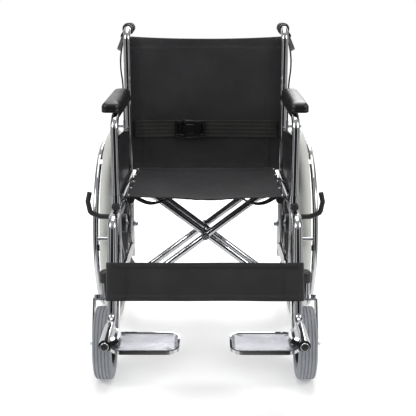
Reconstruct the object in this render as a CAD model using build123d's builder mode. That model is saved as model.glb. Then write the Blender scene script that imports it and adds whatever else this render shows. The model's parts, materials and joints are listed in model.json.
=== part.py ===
from build123d import *
import os
from math import atan2, cos, pi, radians, sin, sqrt, tan

os.makedirs("parts", exist_ok=True)

# Folding manual wheelchair, millimetres. The chair faces -Y, +Z is up and the sitter's
# left is +X. The origin is on the floor, midway along the chair and on its centre plane.

# ---------------------------------------------------------------- driving dimensions
FRAME_X = 242.0            # side frame tubes, from the centre plane
TUBE_R = 11.0              # frame tube, outside radius
TUBE_WALL = 1.6
FRONT_REACH = 732.0        # front of the footrest tube, ahead of the rear axle
TYRE_R = 305.0             # rear tyre, outside radius
TYRE_W = 36.0
TYRE_DEPTH = 31.0
WHEEL_X = 290.0            # middle of the rear tyre
CASTER_R = 100.0
CASTER_W = 50.0
CASTER_X = 275.0
HANDLE_Z = 918.0           # axis of the push handles
ARM_Z = 712.0              # axis of the arm tube
UPPER_RAIL_Z = 472.0
LOWER_RAIL_Z = 232.0
PIVOT_Z = 182.0            # lower pivots of the cross brace
SEAT_RAIL_Z = 480.0
SEAT_RAIL_X = 206.0
FRONT_POST = 405.0         # front post ahead of the rear axle
ARM_POST = 410.0           # arm post ahead of the rear axle
STEM = 425.0               # caster stem ahead of the rear axle
CASTER_TRAIL = 55.0
PIVOT_X = 212.0            # lower pivots of the cross brace
CROSS_Z = 345.0            # centre pivot of the cross brace
CLOTH = 2.5                # thickness of the slings and straps
GAP = 0.3                  # air between touching pieces of different bodies
RUN = 0.05                 # running clearance of a shaft, on the radius
COPE = 0.05                # air where a tube's end is coped round another

AXLE_Y = (FRONT_REACH - TYRE_R) / 2
AXLE_Z = TYRE_R
BORE_R = TUBE_R - TUBE_WALL


def ahead(distance):
    """Y of a place that lies this far ahead of the rear axle line."""
    return AXLE_Y - distance


def bent_tube(points, bend, outer, wall):
    """A round tube along straight runs that are joined by bends of one radius."""
    with BuildPart() as tube:
        with BuildLine() as run:
            if len(points) > 2:
                FilletPolyline(*points, radius=bend)
            else:
                Line(*points)
        with BuildSketch(Plane(origin=run.line @ 0, z_dir=run.line % 0)):
            Circle(outer)
            if wall > 0:
                Circle(outer - wall, mode=Mode.SUBTRACT)
        sweep()
    return tube.part


def across(x_from, x_to, y, z, radius):
    """A round bar along X, as a solid that is not added to any part."""
    plane = Plane(origin=((x_from + x_to) / 2, y, z), z_dir=(1, 0, 0))
    return plane * Cylinder(radius, abs(x_to - x_from), mode=Mode.PRIVATE)


def along(x, y_from, y_to, z, radius):
    """A round bar along Y, as a solid that is not added to any part."""
    plane = Plane(origin=(x, (y_from + y_to) / 2, z), z_dir=(0, 1, 0))
    return plane * Cylinder(radius, abs(y_to - y_from), mode=Mode.PRIVATE)


def upright(x, y, z_from, z_to, radius):
    """A round bar along Z, as a solid that is not added to any part."""
    return Location((x, y, (z_from + z_to) / 2)) * Cylinder(radius, z_to - z_from, mode=Mode.PRIVATE)


def save(part, name):
    part.label = name
    export_step(part, f"parts/{name}.step")


# ---------------------------------------------------------------- cross brace layout
BRACE_R = 10.0             # cross brace tube
BRACE_WALL = 1.5
ARM_A_ROWS = (150.0, 272.0)     # the two tubes of the outer brace arm, ahead of the axle
ARM_B_ROWS = (190.0, 249.0)     # the two tubes of the inner brace arm
KNEE_X = 150.0             # where the upper half of an arm bends towards its seat rail
LOWER_SLOPE = (CROSS_Z - PIVOT_Z) / PIVOT_X
KNEE_Z = CROSS_Z + LOWER_SLOPE * KNEE_X
KNEE_SLOPE = (SEAT_RAIL_Z - KNEE_Z) / (SEAT_RAIL_X - KNEE_X)
KNEE_BEND = 90.0
SLEEVE_R = 11.0            # pivot sleeve at the foot of a brace arm
SLEEVE_PAST = 12.0         # the sleeve runs past the outer tubes by this
PIVOT_ROD_R = 6.0
CENTRE_BOLT_R = 5.0
BRACKET_T = 5.0
SEAT_RAIL_FROM = 25.0
SEAT_RAIL_TO = 378.0
SADDLE_ROWS = (85.0, 316.0)
SADDLE_L = 30.0
SADDLE_WALL = 3.0

# ---------------------------------------------------------------- side frames
POST_FOOT_Z = 196.0
HANDLE_BACK = 146.0        # the handle tube ends this far behind the axle line
HANDLE_BEND = 36.0
ARM_BEND = 42.0
LOWER_NOSE = 440.0         # front end of the lower rail, ahead of the axle
RAIL_NOSE = 424.0          # front end of the upper rail, ahead of the axle
AXLE_R = 6.0
SIDE_PANEL_T = 2.0
PANEL_OUT = 1.0            # the panel's inner face outboard of the frame plane
PANEL_TOP_FRONT = 650.0
PANEL_TOP_REAR = 616.0
TRIM_R = 4.0

# cable stop and brake arm bracket, on the rear of the back post
STOP_TOP = 638.0
STOP_BOTTOM = 600.0
STOP_R = 4.0
STOP_X = FRAME_X + TUBE_R + STOP_R - 0.6
STOP_BACK = 6.0
REAR_PIVOT_BACK = 36.0
REAR_PIVOT_Z = 616.0
REAR_PIVOT_R = 4.0
REAR_PLATE_T = 4.0

# footrest hanger
HANGER_X = FRAME_X + 4.0
HANGER_R = 13.0
HANGER_WALL = 1.8
HANGER_TOP_Z = 448.0
HANGER_FOOT_Z = 262.0
HANGER_BEND = 34.0
HANGER_KNEE = 478.0        # corner of the hanger ahead of the axle
HANGER_LEAN = 0.361        # forward travel of the hanger for each millimetre down
LEG_R = HANGER_R - HANGER_WALL - 0.1
LEG_WALL = 1.6
LEG_TOP_Z = 392.0
LEG_FOOT_Z = 197.0
LEG_BEND = 34.0


def hanger_reach(z):
    """How far ahead of the axle line the slanting hanger stands at this height."""
    return HANGER_KNEE + HANGER_LEAN * (HANGER_TOP_Z - z)


# footplates
PLATE_REAR = 603.0
PLATE_FRONT = 727.0
PLATE_INNER_X = 63.0
PLATE_OUTER_X = 236.0
PLATE_TOP_Z = 184.0
PLATE_T = 6.0
PLATE_RIM = 3.0
PLATE_CORNER = 34.0
RIB_H = 1.2
RIB_W = 3.0
RIBS = 8
HINGE_R = LEG_R + 4.0

# casters
STEM_R = 8.0
BARREL_R = 15.5
BARREL_FROM = 214.0
BARREL_TO = 258.0
CAP_R = 18.0
CAP_TOP = 291.0
CAP_WALL = 2.5
WEB_L = 26.0
WEB_H = 18.0
FORK_INNER = 31.0
FORK_BAR = 5.0
FORK_W = 30.0
CROWN_TOP = BARREL_FROM - GAP
CROWN_T = 6.0
CASTER_AXLE_R = 5.0
CASTER_HUB_R = 66.0
CASTER_HUB_W = 44.0
RIB_GROOVES = 5
GROOVE_W = 3.0
GROOVE_D = 2.2

# rear wheels
RIM_R = TYRE_R - TYRE_DEPTH
RIM_DEPTH = 13.0
RIM_W = 28.0
HUB_R = 30.0
HUB_FROM = FRAME_X + TUBE_R + 4.0
HUB_TO = 318.0
SPOKES = 8
SPOKE_W = 24.0
SPOKE_T = 13.0
HANDRIM_X = 322.5
HANDRIM_R = 258.0
HANDRIM_TUBE = 8.5
HANDRIM_WALL = 1.5
TABS = 6
TAB_W = 18.0
TAB_T = 4.0

# armrest pads and grips
PAD_W = 50.0
PAD_T = 26.0
PAD_OUT = 11.0             # pad centre outboard of the arm tube
PAD_FRONT = 398.0
PAD_REAR = 70.0
GRIP_R = 15.5
GRIP_FROM = 58.0           # grips start this far behind the axle line

# parking brakes
BRAKE_ROW = 350.0
BRAKE_CLAMP_L = 30.0
BRAKE_CLAMP_R = TUBE_R + 4.0
BRAKE_PLATE_X = FRAME_X + TUBE_R + 1.0
BRAKE_PLATE_T = 4.0
LEVER_ROW = 374.0
LEVER_Z = 428.0
LEVER_T = 4.0
LEVER_BOSS_R = 11.0
LEVER_PIN_R = 4.0
LEVER_ROD_R = 7.0
SHOE_PIVOT_ROW = 340.0
SHOE_PIVOT_Z = 418.0
SHOE_Z = 349.0
SHOE_ROW = 320.0
SHOE_R = 6.0
SHOE_T = 3.5
SHOE_TO = WHEEL_X + TYRE_W / 2

# attendant brakes
CLAMP_FROM = HANDLE_BEND + 1.0
CLAMP_TO = CLAMP_FROM + 18.0
CLAMP_R = TUBE_R + 4.0
LEVER_OUT = 0.476          # sideways part of the direction that the lever hangs in
LEVER_DOWN = sqrt(1 - LEVER_OUT**2)
LEVER_DROP = 24.0          # lever pin below the handle axis, along that direction
LEVER_PIN = 46.0           # lever pin behind the axle line
BLADE_DROP = 58.0          # the blade's tip is this much lower than its pin
BLADE_BACK = 90.0
BLADE_W = 14.0
BLADE_T = 5.0
HOUSING_R = 2.5            # brake cable housing

# upholstery
SEAT_SAG = 24.0
SEAT_FROM = 28.0
SEAT_TO = 398.0
SEAT_TAB = 11.0
BACK_X = FRAME_X - 7.6
BACK_FROM_Z = 478.0
BACK_TO_Z = 890.0
BACK_BEHIND = 9.3
BACK_BOW = 18.0
BELT_Z = 610.0
BELT_W = 50.0
BELT_X = 226.0
BUCKLE_X = (-98.0, -4.0)
BUCKLE_W = 56.0
BUCKLE_T = 12.0
CALF_Z = (243.0, 341.0)
CALF_OUT = 3.0             # the strap runs past the hangers by this


def sleeve_span(rows):
    """The lengthwise span of the pivot sleeve under a pair of brace tubes."""
    return ahead(rows[1] + SLEEVE_PAST), ahead(rows[0] - SLEEVE_PAST)


for side, s in (("right", -1), ("left", 1)):
    x_frame = s * FRAME_X
    rows = ARM_A_ROWS if s < 0 else ARM_B_ROWS
    y_sleeve = sleeve_span(rows)

    # Back post: one tube from the lower rail up to the push handle, which is bent back.
    post_points = [
        (x_frame, ahead(0), POST_FOOT_Z),
        (x_frame, ahead(0), HANDLE_Z),
        (x_frame, ahead(-HANDLE_BACK), HANDLE_Z),
    ]
    with BuildPart() as back_post:
        add(bent_tube(post_points, HANDLE_BEND, TUBE_R, 0))
        add(across(x_frame - 40, x_frame + 40, ahead(0), AXLE_Z, AXLE_R + RUN), mode=Mode.SUBTRACT)
        # cable stop, and the plate that carries the rear brake arm
        add(upright(s * STOP_X, ahead(-STOP_BACK), STOP_BOTTOM, STOP_TOP, STOP_R))
        add(upright(s * STOP_X, ahead(-STOP_BACK), STOP_BOTTOM - 1, STOP_TOP + 1, 1.2), mode=Mode.SUBTRACT)
        plate_x = x_frame + s * (TUBE_R - 2)
        with BuildSketch(Plane(origin=(plate_x, 0, 0), x_dir=(0, 1, 0), z_dir=(1, 0, 0))):
            with BuildLine():
                Polyline(
                    (ahead(-3), REAR_PIVOT_Z - 22),
                    (ahead(-REAR_PIVOT_BACK - 8), REAR_PIVOT_Z - 8),
                    (ahead(-REAR_PIVOT_BACK - 8), REAR_PIVOT_Z + 8),
                    (ahead(-3), REAR_PIVOT_Z + 22),
                    close=True,
                )
            make_face()
        extrude(amount=s * REAR_PLATE_T)
        pin_to = plate_x + s * (REAR_PLATE_T + SHOE_T + 3)
        add(across(plate_x, pin_to, ahead(-REAR_PIVOT_BACK), REAR_PIVOT_Z, REAR_PIVOT_R))
        bore_points = [(x_frame, ahead(0), POST_FOOT_Z + 4)] + post_points[1:]
        add(bent_tube(bore_points, HANDLE_BEND, BORE_R, 0), mode=Mode.SUBTRACT)
    save(back_post.part, f"{side}_back_post")

    post_cut = upright(x_frame, ahead(0), 0, HANDLE_Z - HANDLE_BEND, TUBE_R + COPE)

    # Upper rail: seat level tube with its front plug and the two saddles for the seat rail.
    with BuildPart() as upper_rail:
        add(along(x_frame, ahead(0), ahead(RAIL_NOSE), UPPER_RAIL_Z, TUBE_R))
        add(along(x_frame, ahead(RAIL_NOSE), ahead(RAIL_NOSE + 3), UPPER_RAIL_Z, TUBE_R + 0.5))
        for row in SADDLE_ROWS:
            y_saddle = (ahead(row) - SADDLE_L / 2, ahead(row) + SADDLE_L / 2)
            saddle_r = TUBE_R + GAP + SADDLE_WALL
            add(along(s * SEAT_RAIL_X, *y_saddle, SEAT_RAIL_Z, saddle_r))
            x_web = (s * SEAT_RAIL_X, x_frame)
            web_h = SADDLE_WALL * 2
            with Locations((sum(x_web) / 2, ahead(row), SEAT_RAIL_Z - saddle_r + web_h / 2)):
                Box(abs(x_web[1] - x_web[0]), SADDLE_L, web_h)
            add(along(s * SEAT_RAIL_X, *y_saddle, SEAT_RAIL_Z, TUBE_R + GAP), mode=Mode.SUBTRACT)
            with Locations((s * SEAT_RAIL_X, ahead(row), SEAT_RAIL_Z + saddle_r / 2)):
                Box(2 * saddle_r, SADDLE_L + 1, saddle_r, mode=Mode.SUBTRACT)
        add(along(x_frame, ahead(0), ahead(RAIL_NOSE), UPPER_RAIL_Z, BORE_R), mode=Mode.SUBTRACT)
        add(post_cut, mode=Mode.SUBTRACT)
    save(upper_rail.part, f"{side}_upper_rail")

    rail_cut = along(x_frame, ahead(0), ahead(RAIL_NOSE + 9), UPPER_RAIL_Z, TUBE_R + COPE)

    # Lower frame: bottom rail with the front post standing on it, and the brace pivot, a
    # rod between two plates that hang from the rail on its inboard side.
    with BuildPart() as lower_frame:
        add(along(x_frame, ahead(0), ahead(LOWER_NOSE), LOWER_RAIL_Z, TUBE_R))
        add(upright(x_frame, ahead(FRONT_POST), LOWER_RAIL_Z, UPPER_RAIL_Z, TUBE_R))
        for y_plate in (y_sleeve[0] - GAP, y_sleeve[1] + GAP + BRACKET_T):
            with BuildSketch(Plane(origin=(0, y_plate, 0), x_dir=(1, 0, 0), z_dir=(0, -1, 0))):
                with BuildLine():
                    Polyline(
                        (s * (FRAME_X + 8), LOWER_RAIL_Z - 6),
                        (s * (PIVOT_X + 9), PIVOT_Z - 5),
                        (s * (PIVOT_X - 9), PIVOT_Z + 4),
                        (s * (FRAME_X - 10), LOWER_RAIL_Z + 5),
                        close=True,
                    )
                make_face()
                with Locations((s * PIVOT_X, PIVOT_Z)):
                    Circle(SLEEVE_R - 1)
            extrude(amount=BRACKET_T)
        y_rod = (y_sleeve[0] - GAP - BRACKET_T - 3, y_sleeve[1] + GAP + BRACKET_T + 3)
        add(along(s * PIVOT_X, *y_rod, PIVOT_Z, PIVOT_ROD_R))
        add(upright(x_frame, ahead(FRONT_POST), LOWER_RAIL_Z, UPPER_RAIL_Z, BORE_R), mode=Mode.SUBTRACT)
        add(along(x_frame, ahead(0), ahead(LOWER_NOSE - 3), LOWER_RAIL_Z, BORE_R + 0.02),
            mode=Mode.SUBTRACT)
        add(post_cut, mode=Mode.SUBTRACT)
        add(rail_cut, mode=Mode.SUBTRACT)
    save(lower_frame.part, f"{side}_lower_frame")

    # Arm tube: forward from the back post, then bent down on to the upper rail.
    arm_points = [
        (x_frame, ahead(0), ARM_Z),
        (x_frame, ahead(ARM_POST), ARM_Z),
        (x_frame, ahead(ARM_POST), UPPER_RAIL_Z),
    ]
    with BuildPart() as arm_tube:
        add(bent_tube(arm_points, ARM_BEND, TUBE_R, 0))
        add(upright(x_frame, ahead(ARM_POST), UPPER_RAIL_Z, UPPER_RAIL_Z + TUBE_R + 18, TUBE_R + 2.5))
        add(bent_tube(arm_points, ARM_BEND, BORE_R, 0), mode=Mode.SUBTRACT)
        add(post_cut, mode=Mode.SUBTRACT)
        add(rail_cut, mode=Mode.SUBTRACT)
    save(arm_tube.part, f"{side}_arm_tube")

    # Armrest pad: moulded pad with a crowned top, screwed on the arm tube.
    with BuildPart() as armrest_pad:
        pad_z = ARM_Z + TUBE_R
        pad_x = s * (FRAME_X + PAD_OUT)
        with BuildSketch(Plane.XY.offset(pad_z)):
            with Locations((pad_x, (ahead(PAD_FRONT) + ahead(PAD_REAR)) / 2)):
                RectangleRounded(PAD_W, PAD_FRONT - PAD_REAR, 16)
        extrude(amount=PAD_T)
        fillet(armrest_pad.faces().sort_by(Axis.Z)[-1].edges(), radius=8)
        chamfer(armrest_pad.faces().sort_by(Axis.Z)[0].edges(), length=2)
    save(armrest_pad.part, f"{side}_armrest_pad")

    # Side panel: skirt guard sheet with a trim rod along its sloping top edge.
    panel_x = s * (FRAME_X + PANEL_OUT)
    panel_y = (ahead(ARM_POST - TUBE_R - 1), ahead(TUBE_R + 1))
    with BuildPart() as side_panel:
        with BuildSketch(Plane(origin=(panel_x, 0, 0), x_dir=(0, 1, 0), z_dir=(1, 0, 0))):
            with BuildLine():
                Polyline(
                    (panel_y[0], UPPER_RAIL_Z + TUBE_R + 0.2),
                    (panel_y[1], UPPER_RAIL_Z + TUBE_R + 0.2),
                    (panel_y[1], PANEL_TOP_REAR),
                    (panel_y[0], PANEL_TOP_FRONT),
                    close=True,
                )
            make_face()
        extrude(amount=s * SIDE_PANEL_T)
        trim_x = panel_x + s * SIDE_PANEL_T / 2
        add(bent_tube([(trim_x, panel_y[1], PANEL_TOP_REAR), (trim_x, panel_y[0], PANEL_TOP_FRONT)],
                      0, TRIM_R, 0))
        add(upright(x_frame, ahead(ARM_POST), UPPER_RAIL_Z, ARM_Z, TUBE_R + 2.5), mode=Mode.SUBTRACT)
        add(post_cut, mode=Mode.SUBTRACT)
        # notch over the clamp of the parking brake
        notch_l = BRAKE_CLAMP_L / 2 + 1
        add(along(x_frame, ahead(BRAKE_ROW) - notch_l, ahead(BRAKE_ROW) + notch_l, UPPER_RAIL_Z,
                  BRAKE_CLAMP_R + 0.5), mode=Mode.SUBTRACT)
    save(side_panel.part, f"{side}_side_panel")

    # Push grip: moulded sleeve with a flange and a closed end.
    with BuildPart() as push_grip:
        add(along(x_frame, ahead(-GRIP_FROM), ahead(-HANDLE_BACK - 4), HANDLE_Z, GRIP_R))
        add(along(x_frame, ahead(-GRIP_FROM), ahead(-GRIP_FROM - 5), HANDLE_Z, GRIP_R + 3))
        add(along(x_frame, ahead(0), ahead(-HANDLE_BACK), HANDLE_Z, TUBE_R + COPE), mode=Mode.SUBTRACT)
        fillet(push_grip.edges().sort_by(Axis.Y)[-1], radius=3)
    save(push_grip.part, f"{side}_push_grip")

    # Rear axle: shouldered bolt through the back post, with a nut at each end.
    with BuildPart() as rear_axle:
        x_in = x_frame - s * TUBE_R
        add(across(x_in - s * 12, s * (HUB_TO + 9), ahead(0), AXLE_Z, AXLE_R))
        add(across(x_frame + s * (TUBE_R + 2), s * (HUB_FROM - GAP), ahead(0), AXLE_Z, 12))
        for x_nut in (x_in - s * 4.2, s * (HUB_TO + GAP)):
            away = -s if x_nut == x_in - s * 4.2 else s
            with BuildSketch(Plane(origin=(x_nut, ahead(0), AXLE_Z), z_dir=(away, 0, 0))):
                RegularPolygon(10, 6)
            extrude(amount=7)
        add(across(x_in - s * 0.1, x_in - s * 4.2, ahead(0), AXLE_Z, 10))
    save(rear_axle.part, f"{side}_rear_axle")

    # Footrest hanger: sleeve tube from the front post, bent down and forward.
    hanger_points = [
        (s * HANGER_X, ahead(FRONT_POST + 4), HANGER_TOP_Z),
        (s * HANGER_X, ahead(HANGER_KNEE), HANGER_TOP_Z),
        (s * HANGER_X, ahead(hanger_reach(HANGER_FOOT_Z)), HANGER_FOOT_Z),
    ]
    with BuildPart() as hanger_tube:
        add(bent_tube(hanger_points, HANGER_BEND, HANGER_R, HANGER_WALL))
        add(upright(x_frame, ahead(FRONT_POST), LOWER_RAIL_Z, UPPER_RAIL_Z, TUBE_R + COPE),
            mode=Mode.SUBTRACT)
        add(rail_cut, mode=Mode.SUBTRACT)
    save(hanger_tube.part.solids().sort_by(SortBy.VOLUME)[-1], f"{side}_hanger_tube")

    # Footrest leg: slides inside the hanger and is bent forward to carry the footplate.
    leg_points = [
        (s * HANGER_X, ahead(hanger_reach(LEG_TOP_Z)), LEG_TOP_Z),
        (s * HANGER_X, ahead(hanger_reach(LEG_FOOT_Z)), LEG_FOOT_Z),
        (s * HANGER_X, ahead(FRONT_REACH), LEG_FOOT_Z),
    ]
    with BuildPart() as footrest_leg:
        add(bent_tube(leg_points, LEG_BEND, LEG_R, 0))
        fillet(footrest_leg.edges().sort_by(Axis.Y)[0], radius=2.5)
        bore_points = leg_points[:2] + [(s * HANGER_X, ahead(FRONT_REACH - 6), LEG_FOOT_Z)]
        add(bent_tube(bore_points, LEG_BEND, LEG_R - LEG_WALL, 0), mode=Mode.SUBTRACT)
    save(footrest_leg.part, f"{side}_footrest_leg")

    # Footplate: cast tread with a raised rim, hung from a hinge sleeve round the leg.
    plate_mid = ((PLATE_INNER_X + PLATE_OUTER_X) / 2 * s, (ahead(PLATE_REAR) + ahead(PLATE_FRONT)) / 2)
    plate_size = (PLATE_OUTER_X - PLATE_INNER_X, PLATE_FRONT - PLATE_REAR)
    with BuildPart() as footplate:
        with BuildSketch(Plane.XY.offset(PLATE_TOP_Z - PLATE_RIM - PLATE_T)):
            with Locations(plate_mid):
                RectangleRounded(*plate_size, PLATE_CORNER)
        extrude(amount=PLATE_T + PLATE_RIM)
        with BuildSketch(Plane.XY.offset(PLATE_TOP_Z - PLATE_RIM)):
            with Locations(plate_mid):
                RectangleRounded(plate_size[0] - 10, plate_size[1] - 10, PLATE_CORNER - 5)
        extrude(amount=PLATE_RIM + 1, mode=Mode.SUBTRACT)
        with BuildSketch(Plane.XY.offset(PLATE_TOP_Z - PLATE_RIM)):
            with Locations(plate_mid):
                with GridLocations((plate_size[0] - 30) / (RIBS - 1), 0, RIBS, 1):
                    Rectangle(RIB_W, plate_size[1] - 34)
        extrude(amount=RIB_H)
        hinge_y = (ahead(PLATE_FRONT - 4), ahead(PLATE_REAR + 6))
        block_x = (PLATE_OUTER_X - 10, HANGER_X)
        block_z = (PLATE_TOP_Z - PLATE_RIM - PLATE_T, LEG_FOOT_Z)
        with Locations((s * sum(block_x) / 2, sum(hinge_y) / 2, sum(block_z) / 2)):
            Box(block_x[1] - block_x[0], (hinge_y[1] - hinge_y[0]) * 0.62, block_z[1] - block_z[0])
        add(along(s * HANGER_X, *hinge_y, LEG_FOOT_Z, HINGE_R))
        add(along(s * HANGER_X, hinge_y[0] - 5, hinge_y[1] + 5, LEG_FOOT_Z, LEG_R + RUN), mode=Mode.SUBTRACT)
    save(footplate.part, f"{side}_footplate")

    # Caster housing: bearing barrel with a web welded to the nose of the lower rail.
    barrel_y = ahead(STEM)
    with BuildPart() as caster_housing:
        add(upright(s * CASTER_X, barrel_y, BARREL_FROM, BARREL_TO, BARREL_R))
        with Locations(((s * CASTER_X + x_frame) / 2, barrel_y, LOWER_RAIL_Z)):
            Box(CASTER_X - FRAME_X, WEB_L, WEB_H)
        add(along(x_frame, barrel_y - WEB_L, barrel_y + WEB_L, LOWER_RAIL_Z, TUBE_R + COPE),
            mode=Mode.SUBTRACT)
        with Locations((x_frame - s * 5, barrel_y, LOWER_RAIL_Z)):
            Box(TUBE_R * 2, WEB_L * 2, WEB_H * 2, mode=Mode.SUBTRACT)
        add(upright(s * CASTER_X, barrel_y, BARREL_FROM, BARREL_TO, STEM_R + RUN), mode=Mode.SUBTRACT)
    save(caster_housing.part, f"{side}_caster_housing")

    # Caster cap: tall domed dust cap pressed over the top of the barrel.
    with BuildPart() as caster_cap:
        add(upright(s * CASTER_X, barrel_y, BARREL_TO, CAP_TOP, CAP_R))
        fillet(caster_cap.faces().sort_by(Axis.Z)[-1].edges(), radius=CAP_R * 0.55)
        add(upright(s * CASTER_X, barrel_y, BARREL_TO, CAP_TOP - 12, CAP_R - CAP_WALL), mode=Mode.SUBTRACT)
    save(caster_cap.part, f"{side}_caster_cap")

    # Caster fork: stem, crown and two legs that carry the wheel on its trail, with the axle.
    axle_y = ahead(STEM + CASTER_TRAIL)
    crown_z = CROWN_TOP - CROWN_T
    with BuildPart() as caster_fork:
        add(upright(s * CASTER_X, barrel_y, crown_z, BARREL_TO + 6, STEM_R))
        add(upright(s * CASTER_X, barrel_y, BARREL_TO + GAP, BARREL_TO + 8, STEM_R + 4))
        with Locations((s * CASTER_X, barrel_y, crown_z + CROWN_T / 2)):
            Box(2 * (FORK_INNER + FORK_BAR), FORK_W, CROWN_T)
        for leg in (-1, 1):
            leg_x = s * CASTER_X + leg * FORK_INNER
            with BuildSketch(Plane(origin=(leg_x, 0, 0), x_dir=(0, 1, 0), z_dir=(1, 0, 0))):
                with BuildLine():
                    Polyline(
                        (barrel_y + FORK_W / 2, CROWN_TOP),
                        (barrel_y - FORK_W / 2, CROWN_TOP),
                        (axle_y - FORK_W / 2 + 2, CASTER_R),
                        (axle_y + FORK_W / 2 - 2, CASTER_R - 2),
                        (barrel_y + FORK_W / 2, CROWN_TOP - 22),
                        close=True,
                    )
                make_face()
                with Locations((axle_y, CASTER_R)):
                    Circle(FORK_W / 2 - 2)
            extrude(amount=leg * FORK_BAR)
        axle_x = (s * CASTER_X - FORK_INNER - 1, s * CASTER_X + FORK_INNER + 1)
        add(across(*axle_x, axle_y, CASTER_R, CASTER_AXLE_R))
        for end in (-1, 1):
            nut_plane = Plane(origin=(s * CASTER_X + end * (FORK_INNER + FORK_BAR), axle_y, CASTER_R),
                              z_dir=(end, 0, 0))
            with BuildSketch(nut_plane):
                RegularPolygon(8.5, 6)
            extrude(amount=7)
            add(across(s * CASTER_X + end * (CASTER_HUB_W / 2 + GAP), s * CASTER_X + end * FORK_INNER,
                       axle_y, CASTER_R, 8))
    save(caster_fork.part, f"{side}_caster_fork")

    # Caster wheel: moulded hub disc that runs on the fork's axle.
    with BuildPart() as caster_hub:
        add(across(s * CASTER_X - CASTER_HUB_W / 2, s * CASTER_X + CASTER_HUB_W / 2, axle_y, CASTER_R,
                   CASTER_HUB_R))
        for end in (-1, 1):
            dish_x = s * CASTER_X + end * CASTER_HUB_W / 2
            dish = across(dish_x, dish_x - end * 14, axle_y, CASTER_R, CASTER_HUB_R - 8)
            core = across(dish_x, dish_x - end * 14, axle_y, CASTER_R, 18)
            add(dish - core, mode=Mode.SUBTRACT)
        add(across(s * CASTER_X - CASTER_W, s * CASTER_X + CASTER_W, axle_y, CASTER_R, CASTER_AXLE_R + RUN),
            mode=Mode.SUBTRACT)
    save(caster_hub.part, f"{side}_caster_hub")

    # Caster tyre: solid tyre with ribs round its tread.
    with BuildPart() as caster_tyre:
        wheel_plane = Plane(origin=(s * CASTER_X, axle_y, CASTER_R), x_dir=(0, 0, 1), z_dir=(0, -1, 0))
        with BuildSketch(wheel_plane):
            with Locations(((CASTER_R + CASTER_HUB_R) / 2, 0)):
                RectangleRounded(CASTER_R - CASTER_HUB_R, CASTER_W, 9)
            with Locations((CASTER_R, 0)):
                with GridLocations(0, (CASTER_W - 14) / (RIB_GROOVES - 1), 1, RIB_GROOVES):
                    Rectangle(2 * GROOVE_D, GROOVE_W, mode=Mode.SUBTRACT)
        revolve(axis=Axis((s * CASTER_X, axle_y, CASTER_R), (1, 0, 0)))
        add(across(s * CASTER_X - CASTER_W, s * CASTER_X + CASTER_W, axle_y, CASTER_R, CASTER_HUB_R),
            mode=Mode.SUBTRACT)
    save(caster_tyre.part, f"{side}_caster_tyre")

    # Rear tyre: solid tyre with a rounded tread.
    hub_plane = Plane(origin=(s * WHEEL_X, ahead(0), AXLE_Z), x_dir=(0, 0, 1), z_dir=(0, -1, 0))
    wheel_axis = Axis((s * WHEEL_X, ahead(0), AXLE_Z), (1, 0, 0))
    with BuildPart() as rear_tyre:
        with BuildSketch(hub_plane):
            with BuildLine():
                half = TYRE_W / 2
                Line((RIM_R, -half + 3), (RIM_R, half - 3))
                Line((RIM_R, half - 3), (RIM_R + 4, half))
                Line((RIM_R + 4, half), (TYRE_R - 14, half))
                ThreePointArc((TYRE_R - 14, half), (TYRE_R, 0), (TYRE_R - 14, -half))
                Line((TYRE_R - 14, -half), (RIM_R + 4, -half))
                Line((RIM_R + 4, -half), (RIM_R, -half + 3))
            make_face()
        revolve(axis=wheel_axis)
    save(rear_tyre.part, f"{side}_rear_tyre")

    # Rear wheel: one moulding of hub, spokes and rim.
    with BuildPart() as rear_wheel:
        with BuildSketch(hub_plane):
            with Locations((RIM_R - RIM_DEPTH / 2, 0)):
                Rectangle(RIM_DEPTH, RIM_W)
        revolve(axis=wheel_axis)
        add(across(s * HUB_FROM, s * HUB_TO, ahead(0), AXLE_Z, HUB_R))
        spoke_plane = Plane(origin=(s * WHEEL_X - SPOKE_T / 2, ahead(0), AXLE_Z), x_dir=(0, 1, 0),
                            z_dir=(1, 0, 0))
        with BuildSketch(spoke_plane):
            with PolarLocations(0, SPOKES):
                with Locations(((HUB_R + RIM_R - RIM_DEPTH) / 2, 0)):
                    Trapezoid(SPOKE_W, RIM_R - RIM_DEPTH - HUB_R + 12, 91.2, 91.2, rotation=90)
        extrude(amount=SPOKE_T)
        add(across(s * HUB_FROM - s, s * HUB_TO + s, ahead(0), AXLE_Z, AXLE_R + RUN), mode=Mode.SUBTRACT)
    save(rear_wheel.part, f"{side}_rear_wheel")

    # Hand rim: tube ring on tabs that are screwed to the wheel's rim.
    rim_axis = Axis((s * HANDRIM_X, ahead(0), AXLE_Z), (1, 0, 0))
    with BuildPart() as hand_rim:
        with BuildSketch(Plane(origin=(s * HANDRIM_X, ahead(0), AXLE_Z), x_dir=(0, 0, 1), z_dir=(0, -1, 0))):
            with Locations((HANDRIM_R, 0)):
                Circle(HANDRIM_TUBE)
                Circle(HANDRIM_TUBE - HANDRIM_WALL, mode=Mode.SUBTRACT)
        revolve(axis=rim_axis)
        tab_from = WHEEL_X + RIM_W / 2
        tab_to = HANDRIM_X - HANDRIM_TUBE + 1.0
        tab_plane = Plane(origin=(s * tab_from, ahead(0), AXLE_Z), x_dir=(0, 1, 0), z_dir=(s, 0, 0))
        with BuildSketch(tab_plane):
            with PolarLocations(0, TABS):
                with Locations((HANDRIM_R + TAB_T, 0)):
                    Rectangle(2 * TAB_T, TAB_W)
        extrude(amount=tab_to - tab_from + 4)
        with BuildSketch(Plane(origin=(s * HANDRIM_X, ahead(0), AXLE_Z), x_dir=(0, 0, 1), z_dir=(0, -1, 0))):
            with Locations((HANDRIM_R, 0)):
                Circle(HANDRIM_TUBE - HANDRIM_WALL)
        revolve(axis=rim_axis, mode=Mode.SUBTRACT)
    save(hand_rim.part, f"{side}_hand_rim")

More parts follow.
